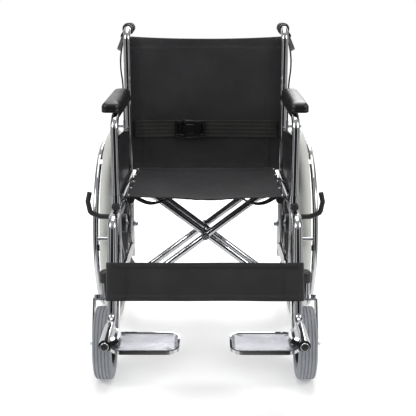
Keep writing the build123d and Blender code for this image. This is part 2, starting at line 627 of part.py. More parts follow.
    # Parking brake base: clamp round the upper rail with a plate that hangs below it.
    plate_x = BRAKE_PLATE_X * s
    with BuildPart() as parking_base:
        clamp_y = (ahead(BRAKE_ROW) - BRAKE_CLAMP_L / 2, ahead(BRAKE_ROW) + BRAKE_CLAMP_L / 2)
        add(along(x_frame, *clamp_y, UPPER_RAIL_Z, BRAKE_CLAMP_R))
        with BuildSketch(Plane(origin=(plate_x, 0, 0), x_dir=(0, 1, 0), z_dir=(1, 0, 0))):
            with BuildLine():
                Polyline(
                    (clamp_y[0], UPPER_RAIL_Z),
                    (clamp_y[1], UPPER_RAIL_Z),
                    (ahead(SHOE_PIVOT_ROW - 12), SHOE_PIVOT_Z - 12),
                    (ahead(SHOE_PIVOT_ROW + 6), SHOE_PIVOT_Z - 22),
                    (ahead(LEVER_ROW + 14), LEVER_Z - 14),
                    (ahead(LEVER_ROW + 14), LEVER_Z + 12),
                    close=True,
                )
            make_face()
        extrude(amount=s * BRAKE_PLATE_T)
        add(along(x_frame, clamp_y[0] - 1, clamp_y[1] + 1, UPPER_RAIL_Z, TUBE_R + COPE),
            mode=Mode.SUBTRACT)
        x_pin = (plate_x, plate_x + s * (BRAKE_PLATE_T + LEVER_T + 3))
        add(across(*x_pin, ahead(LEVER_ROW), LEVER_Z, LEVER_PIN_R))
        add(across(*x_pin, ahead(SHOE_PIVOT_ROW), SHOE_PIVOT_Z, LEVER_PIN_R))
    save(parking_base.part, f"{side}_parking_base")

    # Parking lever: pivot strip with a J-shaped grip rod that turns up outboard.
    lever_x = plate_x + s * (BRAKE_PLATE_T + GAP)
    lever_out = abs(lever_x) + LEVER_T
    with BuildPart() as parking_lever:
        add(across(lever_x, lever_x + s * LEVER_T, ahead(LEVER_ROW), LEVER_Z, LEVER_BOSS_R))
        grip_points = [
            (s * (lever_out - 1), ahead(LEVER_ROW), LEVER_Z + 2),
            (s * 292, ahead(LEVER_ROW), LEVER_Z + 3),
            (s * 319, ahead(LEVER_ROW), LEVER_Z + 14),
            (s * 325, ahead(LEVER_ROW), LEVER_Z + 46),
            (s * 319, ahead(LEVER_ROW), LEVER_Z + 72),
        ]
        add(bent_tube(grip_points, 11, LEVER_ROD_R, 0))
        add(across(plate_x, plate_x + s * (BRAKE_PLATE_T + LEVER_T + 3.5), ahead(LEVER_ROW), LEVER_Z,
                   LEVER_PIN_R + RUN), mode=Mode.SUBTRACT)
    save(parking_lever.part, f"{side}_parking_lever")

    # Brake shoe: strip on its own pivot, with the bar that presses on the tyre.
    with BuildPart() as brake_shoe:
        add(across(lever_x, lever_x + s * SHOE_T, ahead(SHOE_PIVOT_ROW), SHOE_PIVOT_Z, 9))
        add(across(lever_x, lever_x + s * SHOE_T, ahead(SHOE_ROW), SHOE_Z, 8))
        with BuildSketch(Plane(origin=(lever_x, 0, 0), x_dir=(0, 1, 0), z_dir=(1, 0, 0))):
            with BuildLine():
                Polyline(
                    (ahead(SHOE_PIVOT_ROW + 8.5), SHOE_PIVOT_Z),
                    (ahead(SHOE_PIVOT_ROW - 8.5), SHOE_PIVOT_Z),
                    (ahead(SHOE_ROW - 7.5), SHOE_Z),
                    (ahead(SHOE_ROW + 7.5), SHOE_Z),
                    close=True,
                )
            make_face()
        extrude(amount=s * SHOE_T)
        add(across(lever_x, s * SHOE_TO, ahead(SHOE_ROW), SHOE_Z, SHOE_R))
        add(across(lever_x - s, lever_x + s * (SHOE_T + 1), ahead(SHOE_PIVOT_ROW), SHOE_PIVOT_Z,
                   LEVER_PIN_R + RUN), mode=Mode.SUBTRACT)
    save(brake_shoe.part, f"{side}_brake_shoe")

    # Attendant brake mount: clamp on the handle with the pin that the lever turns on.
    hang = (s * LEVER_OUT, 0, -LEVER_DOWN)
    pin_axis = (LEVER_DOWN, 0, s * LEVER_OUT)
    pin_at = (x_frame + hang[0] * LEVER_DROP, ahead(-LEVER_PIN), HANDLE_Z + hang[2] * LEVER_DROP)
    pin_plane = Plane(origin=pin_at, x_dir=(0, 1, 0), z_dir=pin_axis)
    with BuildPart() as attendant_mount:
        add(along(x_frame, ahead(-CLAMP_FROM), ahead(-CLAMP_TO), HANDLE_Z, CLAMP_R))
        add(pin_plane * Cylinder(3.5, BLADE_W + 2 * GAP + 8, mode=Mode.PRIVATE))
        for ear in (-1, 1):
            ear_mid = (BLADE_W / 2 + GAP + 1.5) * ear
            with BuildSketch(pin_plane.offset(ear_mid - 1.5)):
                with Locations((0, LEVER_DROP / 2 - 2)):
                    Rectangle(16, LEVER_DROP - 2)
                Circle(8)
            extrude(amount=3)
        add(along(x_frame, ahead(0), ahead(-CLAMP_TO - 1), HANDLE_Z, TUBE_R + COPE), mode=Mode.SUBTRACT)
    save(attendant_mount.part, f"{side}_attendant_mount")

    # Attendant lever: curved blade that hangs back, down and outboard from its pin.
    with BuildPart() as attendant_lever:
        down = 1 if pin_plane.y_dir.Z < 0 else -1
        with BuildSketch(pin_plane.offset(-BLADE_W / 2)):
            with BuildLine():
                Spline((-5, 0), (30, down * 26), (BLADE_BACK, down * BLADE_DROP),
                       tangents=[(0.6, down * 0.8), (1, down * 0.25)])
                Spline((-5 + BLADE_T * 1.6, 0), (34, down * 21), (BLADE_BACK, down * (BLADE_DROP - BLADE_T)),
                       tangents=[(0.6, down * 0.8), (1, down * 0.25)])
                Line((-5, 0), (-5 + BLADE_T * 1.6, 0))
                Line((BLADE_BACK, down * BLADE_DROP), (BLADE_BACK, down * (BLADE_DROP - BLADE_T)))
            make_face()
            Circle(7)
        extrude(amount=BLADE_W)
        add(pin_plane * Cylinder(3.5 + RUN, BLADE_W + 2, mode=Mode.PRIVATE), mode=Mode.SUBTRACT)
    save(attendant_lever.part, f"{side}_attendant_lever")

    # Brake cable housing: from the attendant mount down the back post to the cable stop.
    cable_points = [
        (s * 252.5, ahead(-34), 892.0),
        (s * 259.5, ahead(-22), 866.0),
        (s * 264.0, ahead(-13), 832.0),
        (s * 263.5, ahead(-9), 796.0),
        (s * 258.5, ahead(-8), 760.0),
        (s * (STOP_X + 0.6), ahead(-STOP_BACK - 0.4), 724.0),
        (s * STOP_X, ahead(-STOP_BACK), 684.0),
        (s * STOP_X, ahead(-STOP_BACK), STOP_TOP),
    ]
    spans = [Vector(*b) - Vector(*a) for a, b in zip(cable_points, cable_points[1:])]
    radii = []
    for first, second in zip(spans, spans[1:]):
        half_turn = radians(first.get_angle(second) / 2)
        radii.append(0.45 * min(first.length, second.length) / tan(half_turn))
    print(side, "cable radii", [round(r) for r in radii])
    with BuildPart() as brake_cable:
        with BuildLine() as run:
            FilletPolyline(*cable_points, radius=radii)
        with BuildSketch(Plane(origin=run.line @ 0, z_dir=run.line % 0)):
            Circle(HOUSING_R)
        sweep()
    by_volume = brake_cable.part.volume / (pi * HOUSING_R**2)
    print(side, "cable length", round(run.wire().length, 1), "by volume", round(by_volume, 1))
    save(brake_cable.part, f"{side}_brake_cable")

    # Rear brake arm: rocker on the back post whose bar presses down on the tyre.
    rocker_x = x_frame + s * (TUBE_R - 2 + REAR_PLATE_T + GAP)
    bar_back = 76.0
    bar_z = AXLE_Z + sqrt((TYRE_R + 3.6 + 5.5) ** 2 - bar_back**2)
    with BuildPart() as rear_brake_arm:
        with BuildSketch(Plane(origin=(rocker_x, 0, 0), x_dir=(0, 1, 0), z_dir=(1, 0, 0))):
            with BuildLine():
                Polyline(
                    (ahead(-REAR_PIVOT_BACK + 15), REAR_PIVOT_Z - 10),
                    (ahead(-REAR_PIVOT_BACK), REAR_PIVOT_Z - 9),
                    (ahead(-bar_back), bar_z - 7),
                    (ahead(-bar_back), bar_z + 7),
                    (ahead(-REAR_PIVOT_BACK), REAR_PIVOT_Z + 9),
                    (ahead(-REAR_PIVOT_BACK + 15), REAR_PIVOT_Z + 2),
                    close=True,
                )
            make_face()
            with Locations((ahead(-bar_back), bar_z)):
                Circle(7)
        extrude(amount=s * SHOE_T)
        add(across(rocker_x, s * SHOE_TO, ahead(-bar_back), bar_z, 5.5))
        add(across(rocker_x - s, rocker_x + s * (SHOE_T + 1), ahead(-REAR_PIVOT_BACK), REAR_PIVOT_Z,
                   REAR_PIVOT_R + RUN), mode=Mode.SUBTRACT)
    save(rear_brake_arm.part, f"{side}_rear_brake_arm")

# ---------------------------------------------------------------- cross brace
# Arm A stands on the right frame and carries the left seat rail; arm B is its mirror.
for name, s, rows, spacer in (("cross_arm_a", -1, ARM_A_ROWS, False), ("cross_arm_b", 1, ARM_B_ROWS, True)):
    y_sleeve = sleeve_span(rows)
    rail_y = (ahead(SEAT_RAIL_TO), ahead(SEAT_RAIL_FROM))
    with BuildPart() as cross_arm:
        for row in rows:
            arm_points = [
                (s * PIVOT_X, ahead(row), PIVOT_Z),
                (-s * KNEE_X, ahead(row), KNEE_Z),
                (-s * SEAT_RAIL_X, ahead(row), SEAT_RAIL_Z),
            ]
            add(bent_tube(arm_points, KNEE_BEND, BRACE_R, 0))
        add(along(s * PIVOT_X, *y_sleeve, PIVOT_Z, SLEEVE_R))
        add(along(-s * SEAT_RAIL_X, *rail_y, SEAT_RAIL_Z, TUBE_R))
        add(along(-s * SEAT_RAIL_X, rail_y[0] + 3, rail_y[1] - 3, SEAT_RAIL_Z, BORE_R), mode=Mode.SUBTRACT)
        add(along(s * PIVOT_X, y_sleeve[0] - 1, y_sleeve[1] + 1, PIVOT_Z, PIVOT_ROD_R + RUN),
            mode=Mode.SUBTRACT)
        for row in rows:
            bore_points = [
                (s * (PIVOT_X - SLEEVE_R), ahead(row), PIVOT_Z + LOWER_SLOPE * SLEEVE_R),
                (-s * KNEE_X, ahead(row), KNEE_Z),
                (-s * (SEAT_RAIL_X - 8), ahead(row), SEAT_RAIL_Z - 8 * KNEE_SLOPE),
            ]
            add(bent_tube(bore_points, KNEE_BEND, BRACE_R - BRACE_WALL, 0), mode=Mode.SUBTRACT)
        bolt_fit = RUN if spacer else 0
        add(along(0, ahead(rows[1] + 20), ahead(rows[0] - 20), CROSS_Z, CENTRE_BOLT_R + bolt_fit),
            mode=Mode.SUBTRACT)
    save(cross_arm.part, name)

# Centre pivot bolt: through all four brace tubes, with a head, a nut and spacers.
with BuildPart() as pivot_bolt:
    y_head = ahead(ARM_A_ROWS[1] + BRACE_R)
    y_nut = ahead(ARM_A_ROWS[0] - BRACE_R)
    add(along(0, y_head, y_nut, CROSS_Z, CENTRE_BOLT_R))
    add(along(0, y_head - 2, y_head, CROSS_Z, 11))
    add(along(0, y_nut, y_nut + 2, CROSS_Z, 11))
    for y_end, way in ((y_head - 2, -1), (y_nut + 2, 1)):
        with BuildSketch(Plane(origin=(0, y_end, CROSS_Z), z_dir=(0, way, 0))):
            RegularPolygon(9, 6)
        extrude(amount=6)
save(pivot_bolt.part, "centre_pivot_bolt")

# ---------------------------------------------------------------- upholstery
# Seat sling: cloth laid over both seat rails, hanging in a shallow curve between them.
seat_z = SEAT_RAIL_Z + TUBE_R + GAP
with BuildPart() as seat_sling:
    with BuildSketch(Plane(origin=(0, ahead(SEAT_FROM), 0), x_dir=(1, 0, 0), z_dir=(0, -1, 0))):
        with BuildLine():
            x_tab = SEAT_RAIL_X + SEAT_TAB
            Line((-x_tab, seat_z), (-SEAT_RAIL_X, seat_z))
            ThreePointArc((-SEAT_RAIL_X, seat_z), (0, seat_z - SEAT_SAG), (SEAT_RAIL_X, seat_z))
            Line((SEAT_RAIL_X, seat_z), (x_tab, seat_z))
            Line((x_tab, seat_z), (x_tab, seat_z + CLOTH))
            Line((x_tab, seat_z + CLOTH), (SEAT_RAIL_X, seat_z + CLOTH))
            ThreePointArc((SEAT_RAIL_X, seat_z + CLOTH), (0, seat_z + CLOTH - SEAT_SAG),
                          (-SEAT_RAIL_X, seat_z + CLOTH))
            Line((-SEAT_RAIL_X, seat_z + CLOTH), (-x_tab, seat_z + CLOTH))
            Line((-x_tab, seat_z + CLOTH), (-x_tab, seat_z))
        make_face()
    extrude(amount=SEAT_TO - SEAT_FROM)
save(seat_sling.part, "seat_sling")


def bowed_band(half_width, y_end, bow, z_from, z_to):
    """Cloth band between the side frames that bows along Y in the middle."""
    with BuildPart() as band:
        with BuildSketch(Plane.XY.offset(z_from)):
            with BuildLine():
                ThreePointArc((-half_width, y_end), (0, y_end + bow), (half_width, y_end))
                Line((half_width, y_end), (half_width, y_end + CLOTH))
                ThreePointArc((half_width, y_end + CLOTH), (0, y_end + bow + CLOTH),
                              (-half_width, y_end + CLOTH))
                Line((-half_width, y_end + CLOTH), (-half_width, y_end))
            make_face()
        extrude(amount=z_to - z_from)
    return band.part


# Back sling: cloth panel that meets both back posts behind their middle.
save(bowed_band(BACK_X, ahead(-BACK_BEHIND), BACK_BOW, BACK_FROM_Z, BACK_TO_Z), "back_sling")

# Safety belt: webbing that lies along the front of the back sling, and its buckle.
BELT_FRONT = BACK_BEHIND - CLOTH - 1.0
belt_bow = BACK_BOW - 1.5
save(bowed_band(BELT_X, ahead(-BELT_FRONT), belt_bow, BELT_Z - BELT_W / 2, BELT_Z + BELT_W / 2),
     "safety_belt")
with BuildPart() as belt_buckle:
    buckle_mid = sum(BUCKLE_X) / 2
    with Locations((buckle_mid, ahead(-BELT_FRONT) + belt_bow - 3.6 - BUCKLE_T / 2, BELT_Z)):
        Box(BUCKLE_X[1] - BUCKLE_X[0], BUCKLE_T, BUCKLE_W)
    fillet(belt_buckle.edges().filter_by(Axis.Y), radius=8)
    fillet(belt_buckle.faces().sort_by(Axis.Y)[0].edges(), radius=3)
save(belt_buckle.part, "belt_buckle")

# Calf strap: wide cloth band round the front of both hangers.
strap_lean = atan2(hanger_reach(CALF_Z[0]) - hanger_reach(CALF_Z[1]), CALF_Z[1] - CALF_Z[0])
strap_mid_z = sum(CALF_Z) / 2
strap_mid = (0, ahead(hanger_reach(strap_mid_z)), strap_mid_z)
strap_plane = Plane(origin=strap_mid, x_dir=(1, 0, 0), z_dir=(0, sin(strap_lean), cos(strap_lean)))
with BuildPart() as calf_strap:
    strap_h = (CALF_Z[1] - CALF_Z[0]) / cos(strap_lean)
    inner_r = HANGER_R + GAP
    with BuildSketch(strap_plane.offset(-strap_h / 2)):
        for grow, mode in ((inner_r + CLOTH, Mode.ADD), (inner_r, Mode.SUBTRACT)):
            SlotCenterToCenter(2 * HANGER_X, 2 * grow, mode=mode)
    extrude(amount=strap_h)
    # open rear span between the two wraps
    with BuildSketch(strap_plane.offset(-strap_h / 2)):
        with Locations((0, inner_r + CLOTH if strap_plane.y_dir.Y > 0 else -inner_r - CLOTH)):
            Rectangle(2 * HANGER_X - 60, 2 * (inner_r + CLOTH) - 6)
    extrude(amount=strap_h, mode=Mode.SUBTRACT)
save(calf_strap.part, "calf_strap")
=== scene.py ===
import json
import math
import bmesh
import bpy
from mathutils import Matrix, Vector, noise


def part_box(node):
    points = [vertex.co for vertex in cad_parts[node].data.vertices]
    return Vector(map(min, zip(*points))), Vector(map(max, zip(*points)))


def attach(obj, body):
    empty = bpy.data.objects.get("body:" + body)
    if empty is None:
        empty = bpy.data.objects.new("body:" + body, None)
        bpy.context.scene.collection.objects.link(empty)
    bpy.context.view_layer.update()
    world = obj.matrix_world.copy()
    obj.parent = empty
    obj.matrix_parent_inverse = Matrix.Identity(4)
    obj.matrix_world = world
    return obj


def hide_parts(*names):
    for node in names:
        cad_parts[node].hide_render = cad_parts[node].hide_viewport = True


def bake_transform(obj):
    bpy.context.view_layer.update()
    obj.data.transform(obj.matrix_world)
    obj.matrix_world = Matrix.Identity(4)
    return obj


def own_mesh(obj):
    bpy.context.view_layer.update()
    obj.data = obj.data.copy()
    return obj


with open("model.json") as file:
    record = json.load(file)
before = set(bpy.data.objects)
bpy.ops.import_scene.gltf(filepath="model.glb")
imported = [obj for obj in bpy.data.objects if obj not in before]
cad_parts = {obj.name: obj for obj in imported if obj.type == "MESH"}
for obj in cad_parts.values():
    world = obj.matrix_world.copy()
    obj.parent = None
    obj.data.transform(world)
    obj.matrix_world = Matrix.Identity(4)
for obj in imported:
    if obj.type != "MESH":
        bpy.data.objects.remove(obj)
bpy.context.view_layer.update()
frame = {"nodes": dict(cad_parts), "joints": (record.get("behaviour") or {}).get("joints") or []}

joints = {joint["name"]: joint for joint in frame["joints"]}

# ---------------------------------------------------------------- studio
# A white product table: pale floor, white surround and large soft lamps, with the camera
# in front of the chair, a little above arm height and looking slightly down.
axle = Vector(joints["left_wheel_spin"]["pos_m"])
CAMERA_BACK = 2.680
CAMERA_HEIGHT = 1.071
CAMERA_SIDE = 0.0125
CAMERA_TILT = 14.95
CAMERA_TURN = 0.12
LENS = 74.5

camera = bpy.data.objects.new("camera", bpy.data.cameras.new("camera"))
bpy.context.collection.objects.link(camera)
camera.data.lens = LENS
camera.data.sensor_width = 36.0
camera.location = (CAMERA_SIDE, axle.y - CAMERA_BACK, CAMERA_HEIGHT)
camera.rotation_euler = (math.radians(90 - CAMERA_TILT), 0, math.radians(CAMERA_TURN))
bpy.context.scene.camera = camera
bpy.context.scene.view_settings.view_transform = "Standard"


def node(tree, kind, links=(), **settings):
    """Adds a node, sets its properties or inputs by name, and links outputs into it."""
    made = tree.nodes.new(kind)
    for key, value in settings.items():
        if hasattr(made, key):
            setattr(made, key, value)
        else:
            made.inputs[key.replace("_", " ")].default_value = value
    for source, target in links:
        tree.links.new(source, made.inputs[target])
    return made


# level of the surround by its turn from straight behind the chair (0) to the camera (1)
SURROUND = ((0.0, 1.0), (0.24, 1.0), (0.31, 0.03), (0.40, 0.02), (0.45, 1.0), (0.53, 1.0),
            (0.58, 0.02), (0.68, 0.02), (0.72, 0.9), (0.77, 0.9), (0.81, 0.03), (1.0, 0.02))
SURROUND_STRENGTH = 0.9
OVERHEAD = (0.55, 0.55, 0.55, 1)
OVERHEAD_FROM = 0.35
OVERHEAD_TO = 0.75

world = bpy.data.worlds.new("white surround")
bpy.context.scene.world = world
world.use_nodes = True
sky = world.node_tree
sky.nodes.clear()
direction = node(sky, "ShaderNodeTexCoord")
parts = node(sky, "ShaderNodeSeparateXYZ", [(direction.outputs["Generated"], 0)])
azimuth = node(sky, "ShaderNodeMath", [(parts.outputs["X"], 0), (parts.outputs["Y"], 1)],
               operation="ARCTAN2")
turned = node(sky, "ShaderNodeMath", [(azimuth.outputs[0], 0)], operation="ABSOLUTE")
share = node(sky, "ShaderNodeMath", [(turned.outputs[0], 0)], operation="DIVIDE")
share.inputs[1].default_value = math.pi
side_ramp = node(sky, "ShaderNodeValToRGB", [(share.outputs[0], 0)])
side_ramp.color_ramp.interpolation = "EASE"
ramp = side_ramp.color_ramp.elements
while len(ramp) < len(SURROUND):
    ramp.new(0.5)
for stop, (place, level) in zip(ramp, SURROUND):
    stop.position = place
    stop.color = (level, level, level, 1)
lift = node(sky, "ShaderNodeMapRange", [(parts.outputs["Z"], "Value")],
            From_Min=OVERHEAD_FROM, From_Max=OVERHEAD_TO)
mix = node(sky, "ShaderNodeMix", [(lift.outputs[0], "Factor"), (side_ramp.outputs[0], "A")],
           data_type="RGBA", B=OVERHEAD)
surround = node(sky, "ShaderNodeBackground", [(mix.outputs["Result"], "Color")],
                Strength=SURROUND_STRENGTH)
white = node(sky, "ShaderNodeBackground", Color=(1, 1, 1, 1))
seen = node(sky, "ShaderNodeLightPath")
choose = node(sky, "ShaderNodeMixShader",
              [(seen.outputs["Is Camera Ray"], 0), (surround.outputs[0], 1), (white.outputs[0], 2)])
node(sky, "ShaderNodeOutputWorld", [(choose.outputs[0], "Surface")])

LAMPS = (
    ("key lamp", (-2.4, -1.4, 2.4), 1.1, 32),
    ("fill lamp", (2.4, -1.2, 2.2), 1.1, 27),
    ("top lamp", (0.0, 0.6, 3.2), 2.2, 62),
    ("rear lamp", (0.4, 2.8, 2.0), 1.6, 26),
)
LAMP_AIM = Vector((0, 0, 0.4))
for name, place, size, power in LAMPS:
    lamp = bpy.data.lights.new(name, "AREA")
    lamp.size = size
    lamp.energy = power
    lamp_object = bpy.data.objects.new(name, lamp)
    bpy.context.collection.objects.link(lamp_object)
    lamp_object.location = place
    aim = LAMP_AIM - Vector(place)
    lamp_object.rotation_euler = aim.to_track_quat("-Z", "Y").to_euler()


def new_piece(name, mesh):
    """Puts a finished bmesh into a new object whose origin is the frame's origin."""
    bmesh.ops.recalc_face_normals(mesh, faces=mesh.faces)
    data = bpy.data.meshes.new(name)
    mesh.to_mesh(data)
    mesh.free()
    piece = bpy.data.objects.new(name, data)
    bpy.context.collection.objects.link(piece)
    for face in data.polygons:
        face.use_smooth = True
    return piece


# The floor's paper carries a painted glow: its emission brightens it away from the chair and stays
# weaker near it, so it reads white far off while the chair's shadows stay; polished metal sees the room
# past the paper's edge.
PAPER_SIZE = 9.0
PAPER_SHADE = 0.93
PAPER_ROUGH = 0.7
GLOW_FROM, GLOW_TO = 0.35, 1.8
GLOW_NEAR, GLOW_FAR = 0.25, 0.62
MIRROR_FROM, MIRROR_TO = 0.55, 0.95
sweep = bmesh.new()
bmesh.ops.create_grid(sweep, x_segments=2, y_segments=2, size=PAPER_SIZE)
floor = new_piece("floor", sweep)
paper = bpy.data.materials.new("paper")
paper.use_nodes = True
paper_tree = paper.node_tree
paper_shader = paper_tree.nodes["Principled BSDF"]
paper_shader.inputs["Base Color"].default_value = (PAPER_SHADE, PAPER_SHADE, PAPER_SHADE, 1)
paper_shader.inputs["Roughness"].default_value = PAPER_ROUGH
paper_shader.inputs["Emission Color"].default_value = (1, 1, 1, 1)
floor.data.materials.append(paper)
paper_place = node(paper_tree, "ShaderNodeTexCoord")
paper_far = node(paper_tree, "ShaderNodeVectorMath", [(paper_place.outputs["Object"], 0)],
                 operation="LENGTH")
# painted glow: the paper's emission strength, weak near the chair and stronger far from it
glow = node(paper_tree, "ShaderNodeMapRange", [(paper_far.outputs["Value"], "Value")],
            From_Min=GLOW_FROM, From_Max=GLOW_TO, To_Min=GLOW_NEAR, To_Max=GLOW_FAR)
paper_tree.links.new(glow.outputs[0], paper_shader.inputs["Emission Strength"])
paper_edge = node(paper_tree, "ShaderNodeMapRange", [(paper_far.outputs["Value"], "Value")],
                  From_Min=MIRROR_FROM, From_Max=MIRROR_TO)
paper_seen = node(paper_tree, "ShaderNodeLightPath")
paper_mirrored = node(paper_tree, "ShaderNodeMath",
                      [(paper_seen.outputs["Is Glossy Ray"], 0), (paper_edge.outputs[0], 1)],
                      operation="MULTIPLY")
paper_clear = node(paper_tree, "ShaderNodeBsdfTransparent")
paper_mix = node(paper_tree, "ShaderNodeMixShader",
                 [(paper_mirrored.outputs[0], 0), (paper_shader.outputs[0], 1),
                  (paper_clear.outputs[0], 2)])
paper_tree.links.new(paper_mix.outputs[0], paper_tree.nodes["Material Output"].inputs["Surface"])


# ---------------------------------------------------------------- chromed tubes
# The side frames, arm tubes, hangers, legs, forks and hand rims are steel tube, bent,
# welded, polished and chromium plated. Plating is a mirror with a faint haze.
SIDES = (("right", -1), ("left", 1))


def new_group(name, inputs, outputs):
    """A shader node group with named sockets, and its input and output nodes."""
    tree = bpy.data.node_groups.new(name, "ShaderNodeTree")
    for label, kind, value in inputs:
        socket = tree.interface.new_socket(label, in_out="INPUT", socket_type=kind)
        socket.default_value = value
    for label, kind in outputs:
        tree.interface.new_socket(label, in_out="OUTPUT", socket_type=kind)
    return tree, tree.nodes.new("NodeGroupInput"), tree.nodes.new("NodeGroupOutput")


# Haze: cloudy patches, used for roughness on every hard finish.
haze, haze_in, haze_out = new_group(
    "haze",
    [("Scale", "NodeSocketFloat", 12.0), ("Low", "NodeSocketFloat", 0.05),
     ("High", "NodeSocketFloat", 0.12)],
    [("Value", "NodeSocketFloat")],
)
haze_place = node(haze, "ShaderNodeTexCoord")
haze_noise = node(haze, "ShaderNodeTexNoise",
                  [(haze_place.outputs["Object"], "Vector"), (haze_in.outputs["Scale"], "Scale")],
                  Detail=5.0, Roughness=0.6)
haze_range = node(haze, "ShaderNodeMapRange",
                  [(haze_noise.outputs[0], "Value"), (haze_in.outputs["Low"], "To Min"),
                   (haze_in.outputs["High"], "To Max")],
                  From_Min=0.35, From_Max=0.7)
haze.links.new(haze_range.outputs[0], haze_out.inputs[0])

# Tint: mixes two shades in soft patches, for colour that isn't quite even.
tint, tint_in, tint_out = new_group(
    "tint",
    [("Scale", "NodeSocketFloat", 6.0), ("Shade A", "NodeSocketColor", (1, 1, 1, 1)),
     ("Shade B", "NodeSocketColor", (0.5, 0.5, 0.5, 1))],
    [("Color", "NodeSocketColor")],
)
tint_place = node(tint, "ShaderNodeTexCoord")
tint_noise = node(tint, "ShaderNodeTexNoise",
                  [(tint_place.outputs["Object"], "Vector"), (tint_in.outputs["Scale"], "Scale")],
                  Detail=6.0)
tint_fac = node(tint, "ShaderNodeMapRange", [(tint_noise.outputs[0], "Value")],
                From_Min=0.3, From_Max=0.7)
tint_mix = node(tint, "ShaderNodeMix",
                [(tint_fac.outputs[0], "Factor"), (tint_in.outputs["Shade A"], "A"),
                 (tint_in.outputs["Shade B"], "B")], data_type="RGBA")
tint.links.new(tint_mix.outputs["Result"], tint_out.inputs[0])

# Grain: fine bumps of one size, for moulded plastic, rubber and cast metal.
grain, grain_in, grain_out = new_group(
    "grain",
    [("Scale", "NodeSocketFloat", 900.0)],
    [("Height", "NodeSocketFloat")],
)
grain_place = node(grain, "ShaderNodeTexCoord")
grain_cells = node(grain, "ShaderNodeTexVoronoi",
                   [(grain_place.outputs["Object"], "Vector"), (grain_in.outputs["Scale"], "Scale")])
grain.links.new(grain_cells.outputs["Distance"], grain_out.inputs[0])


def hard_finish(name, shade_a, shade_b, rough, metallic=0.0, grain_size=None, grain_depth=0.0002,
                patch=6.0):
    """A metal, plastic or rubber finish made from the tint, haze and grain groups."""
    material = bpy.data.materials.new(name)
    material.use_nodes = True
    tree = material.node_tree
    shader = tree.nodes["Principled BSDF"]
    shader.inputs["Metallic"].default_value = metallic
    colour = node(tree, "ShaderNodeGroup", node_tree=tint)
    colour.inputs["Scale"].default_value = patch
    colour.inputs["Shade A"].default_value = (*shade_a, 1)
    colour.inputs["Shade B"].default_value = (*shade_b, 1)
    tree.links.new(colour.outputs[0], shader.inputs["Base Color"])
    cloud = node(tree, "ShaderNodeGroup", node_tree=haze)
    cloud.inputs["Low"].default_value = rough[0]
    cloud.inputs["High"].default_value = rough[1]
    tree.links.new(cloud.outputs[0], shader.inputs["Roughness"])
    if grain_size:
        cells = node(tree, "ShaderNodeGroup", node_tree=grain)
        cells.inputs["Scale"].default_value = grain_size
        bump = node(tree, "ShaderNodeBump", [(cells.outputs[0], "Height")],
                    Strength=0.6, Distance=grain_depth)
        tree.links.new(bump.outputs[0], shader.inputs["Normal"])
    return material


def dress(names, material):
    """Gives CAD nodes a better finish."""
    for name in names:
        slots = frame["nodes"][name].material_slots
        if len(slots) == 0:
            frame["nodes"][name].data.materials.append(material)
        for slot in frame["nodes"][name].material_slots:
            slot.material = material


chrome = hard_finish("chrome plate", (0.58, 0.585, 0.60), (0.53, 0.535, 0.55), (0.03, 0.09),
                     metallic=1.0)
CHROMED = ("back_post", "upper_rail", "lower_frame", "arm_tube", "hanger_tube", "footrest_leg",
           "caster_housing", "caster_fork", "hand_rim")
dress([f"{side}_{name}" for side, s in SIDES for name in CHROMED], chrome)
dress(["cross_arm_a", "cross_arm_b"], chrome)

zinc = hard_finish("zinc plate", (0.62, 0.63, 0.66), (0.50, 0.51, 0.54), (0.22, 0.38),
                   metallic=1.0, patch=40.0)
ZINC = ("rear_axle", "parking_base", "brake_shoe", "rear_brake_arm")
dress([f"{side}_{name}" for side, s in SIDES for name in ZINC], zinc)
dress(["centre_pivot_bolt"], zinc)

# ---------------------------------------------------------------- black mouldings
# Wheels, caster caps and hubs, attendant levers and side panels are black nylon or
# polypropylene, moulded with a satin texture. Cables and parking levers are black rubber.
satin_black = hard_finish("satin black moulding", (0.018, 0.018, 0.020), (0.028, 0.028, 0.031),
                          (0.32, 0.48), grain_size=1400.0, grain_depth=0.0001)
MOULDED = ("rear_wheel", "caster_cap", "caster_hub", "attendant_mount", "attendant_lever", "side_panel")
dress([f"{side}_{name}" for side, s in SIDES for name in MOULDED], satin_black)
black_rubber = hard_finish("black rubber", (0.014, 0.014, 0.015), (0.024, 0.024, 0.026), (0.5, 0.68),
                           grain_size=1100.0, grain_depth=0.00015)
RUBBER = ("brake_cable", "parking_lever")
dress([f"{side}_{name}" for side, s in SIDES for name in RUBBER], black_rubber)

# ---------------------------------------------------------------- tyres
# Rear tyres are solid light grey rubber with a fine pimpled tread; caster tyres are a
# bluer grey and keep their ribs.
tyre_grey = hard_finish("light grey tyre", (0.60, 0.61, 0.58), (0.52, 0.53, 0.50), (0.5, 0.65),
                        grain_size=520.0, grain_depth=0.0006, patch=9.0)
dress([f"{side}_rear_tyre" for side, s in SIDES], tyre_grey)
caster_grey = hard_finish("blue grey tyre", (0.29, 0.305, 0.33), (0.24, 0.25, 0.275), (0.45, 0.62),
                          grain_size=900.0, grain_depth=0.0002, patch=14.0)
dress([f"{side}_caster_tyre" for side, s in SIDES], caster_grey)

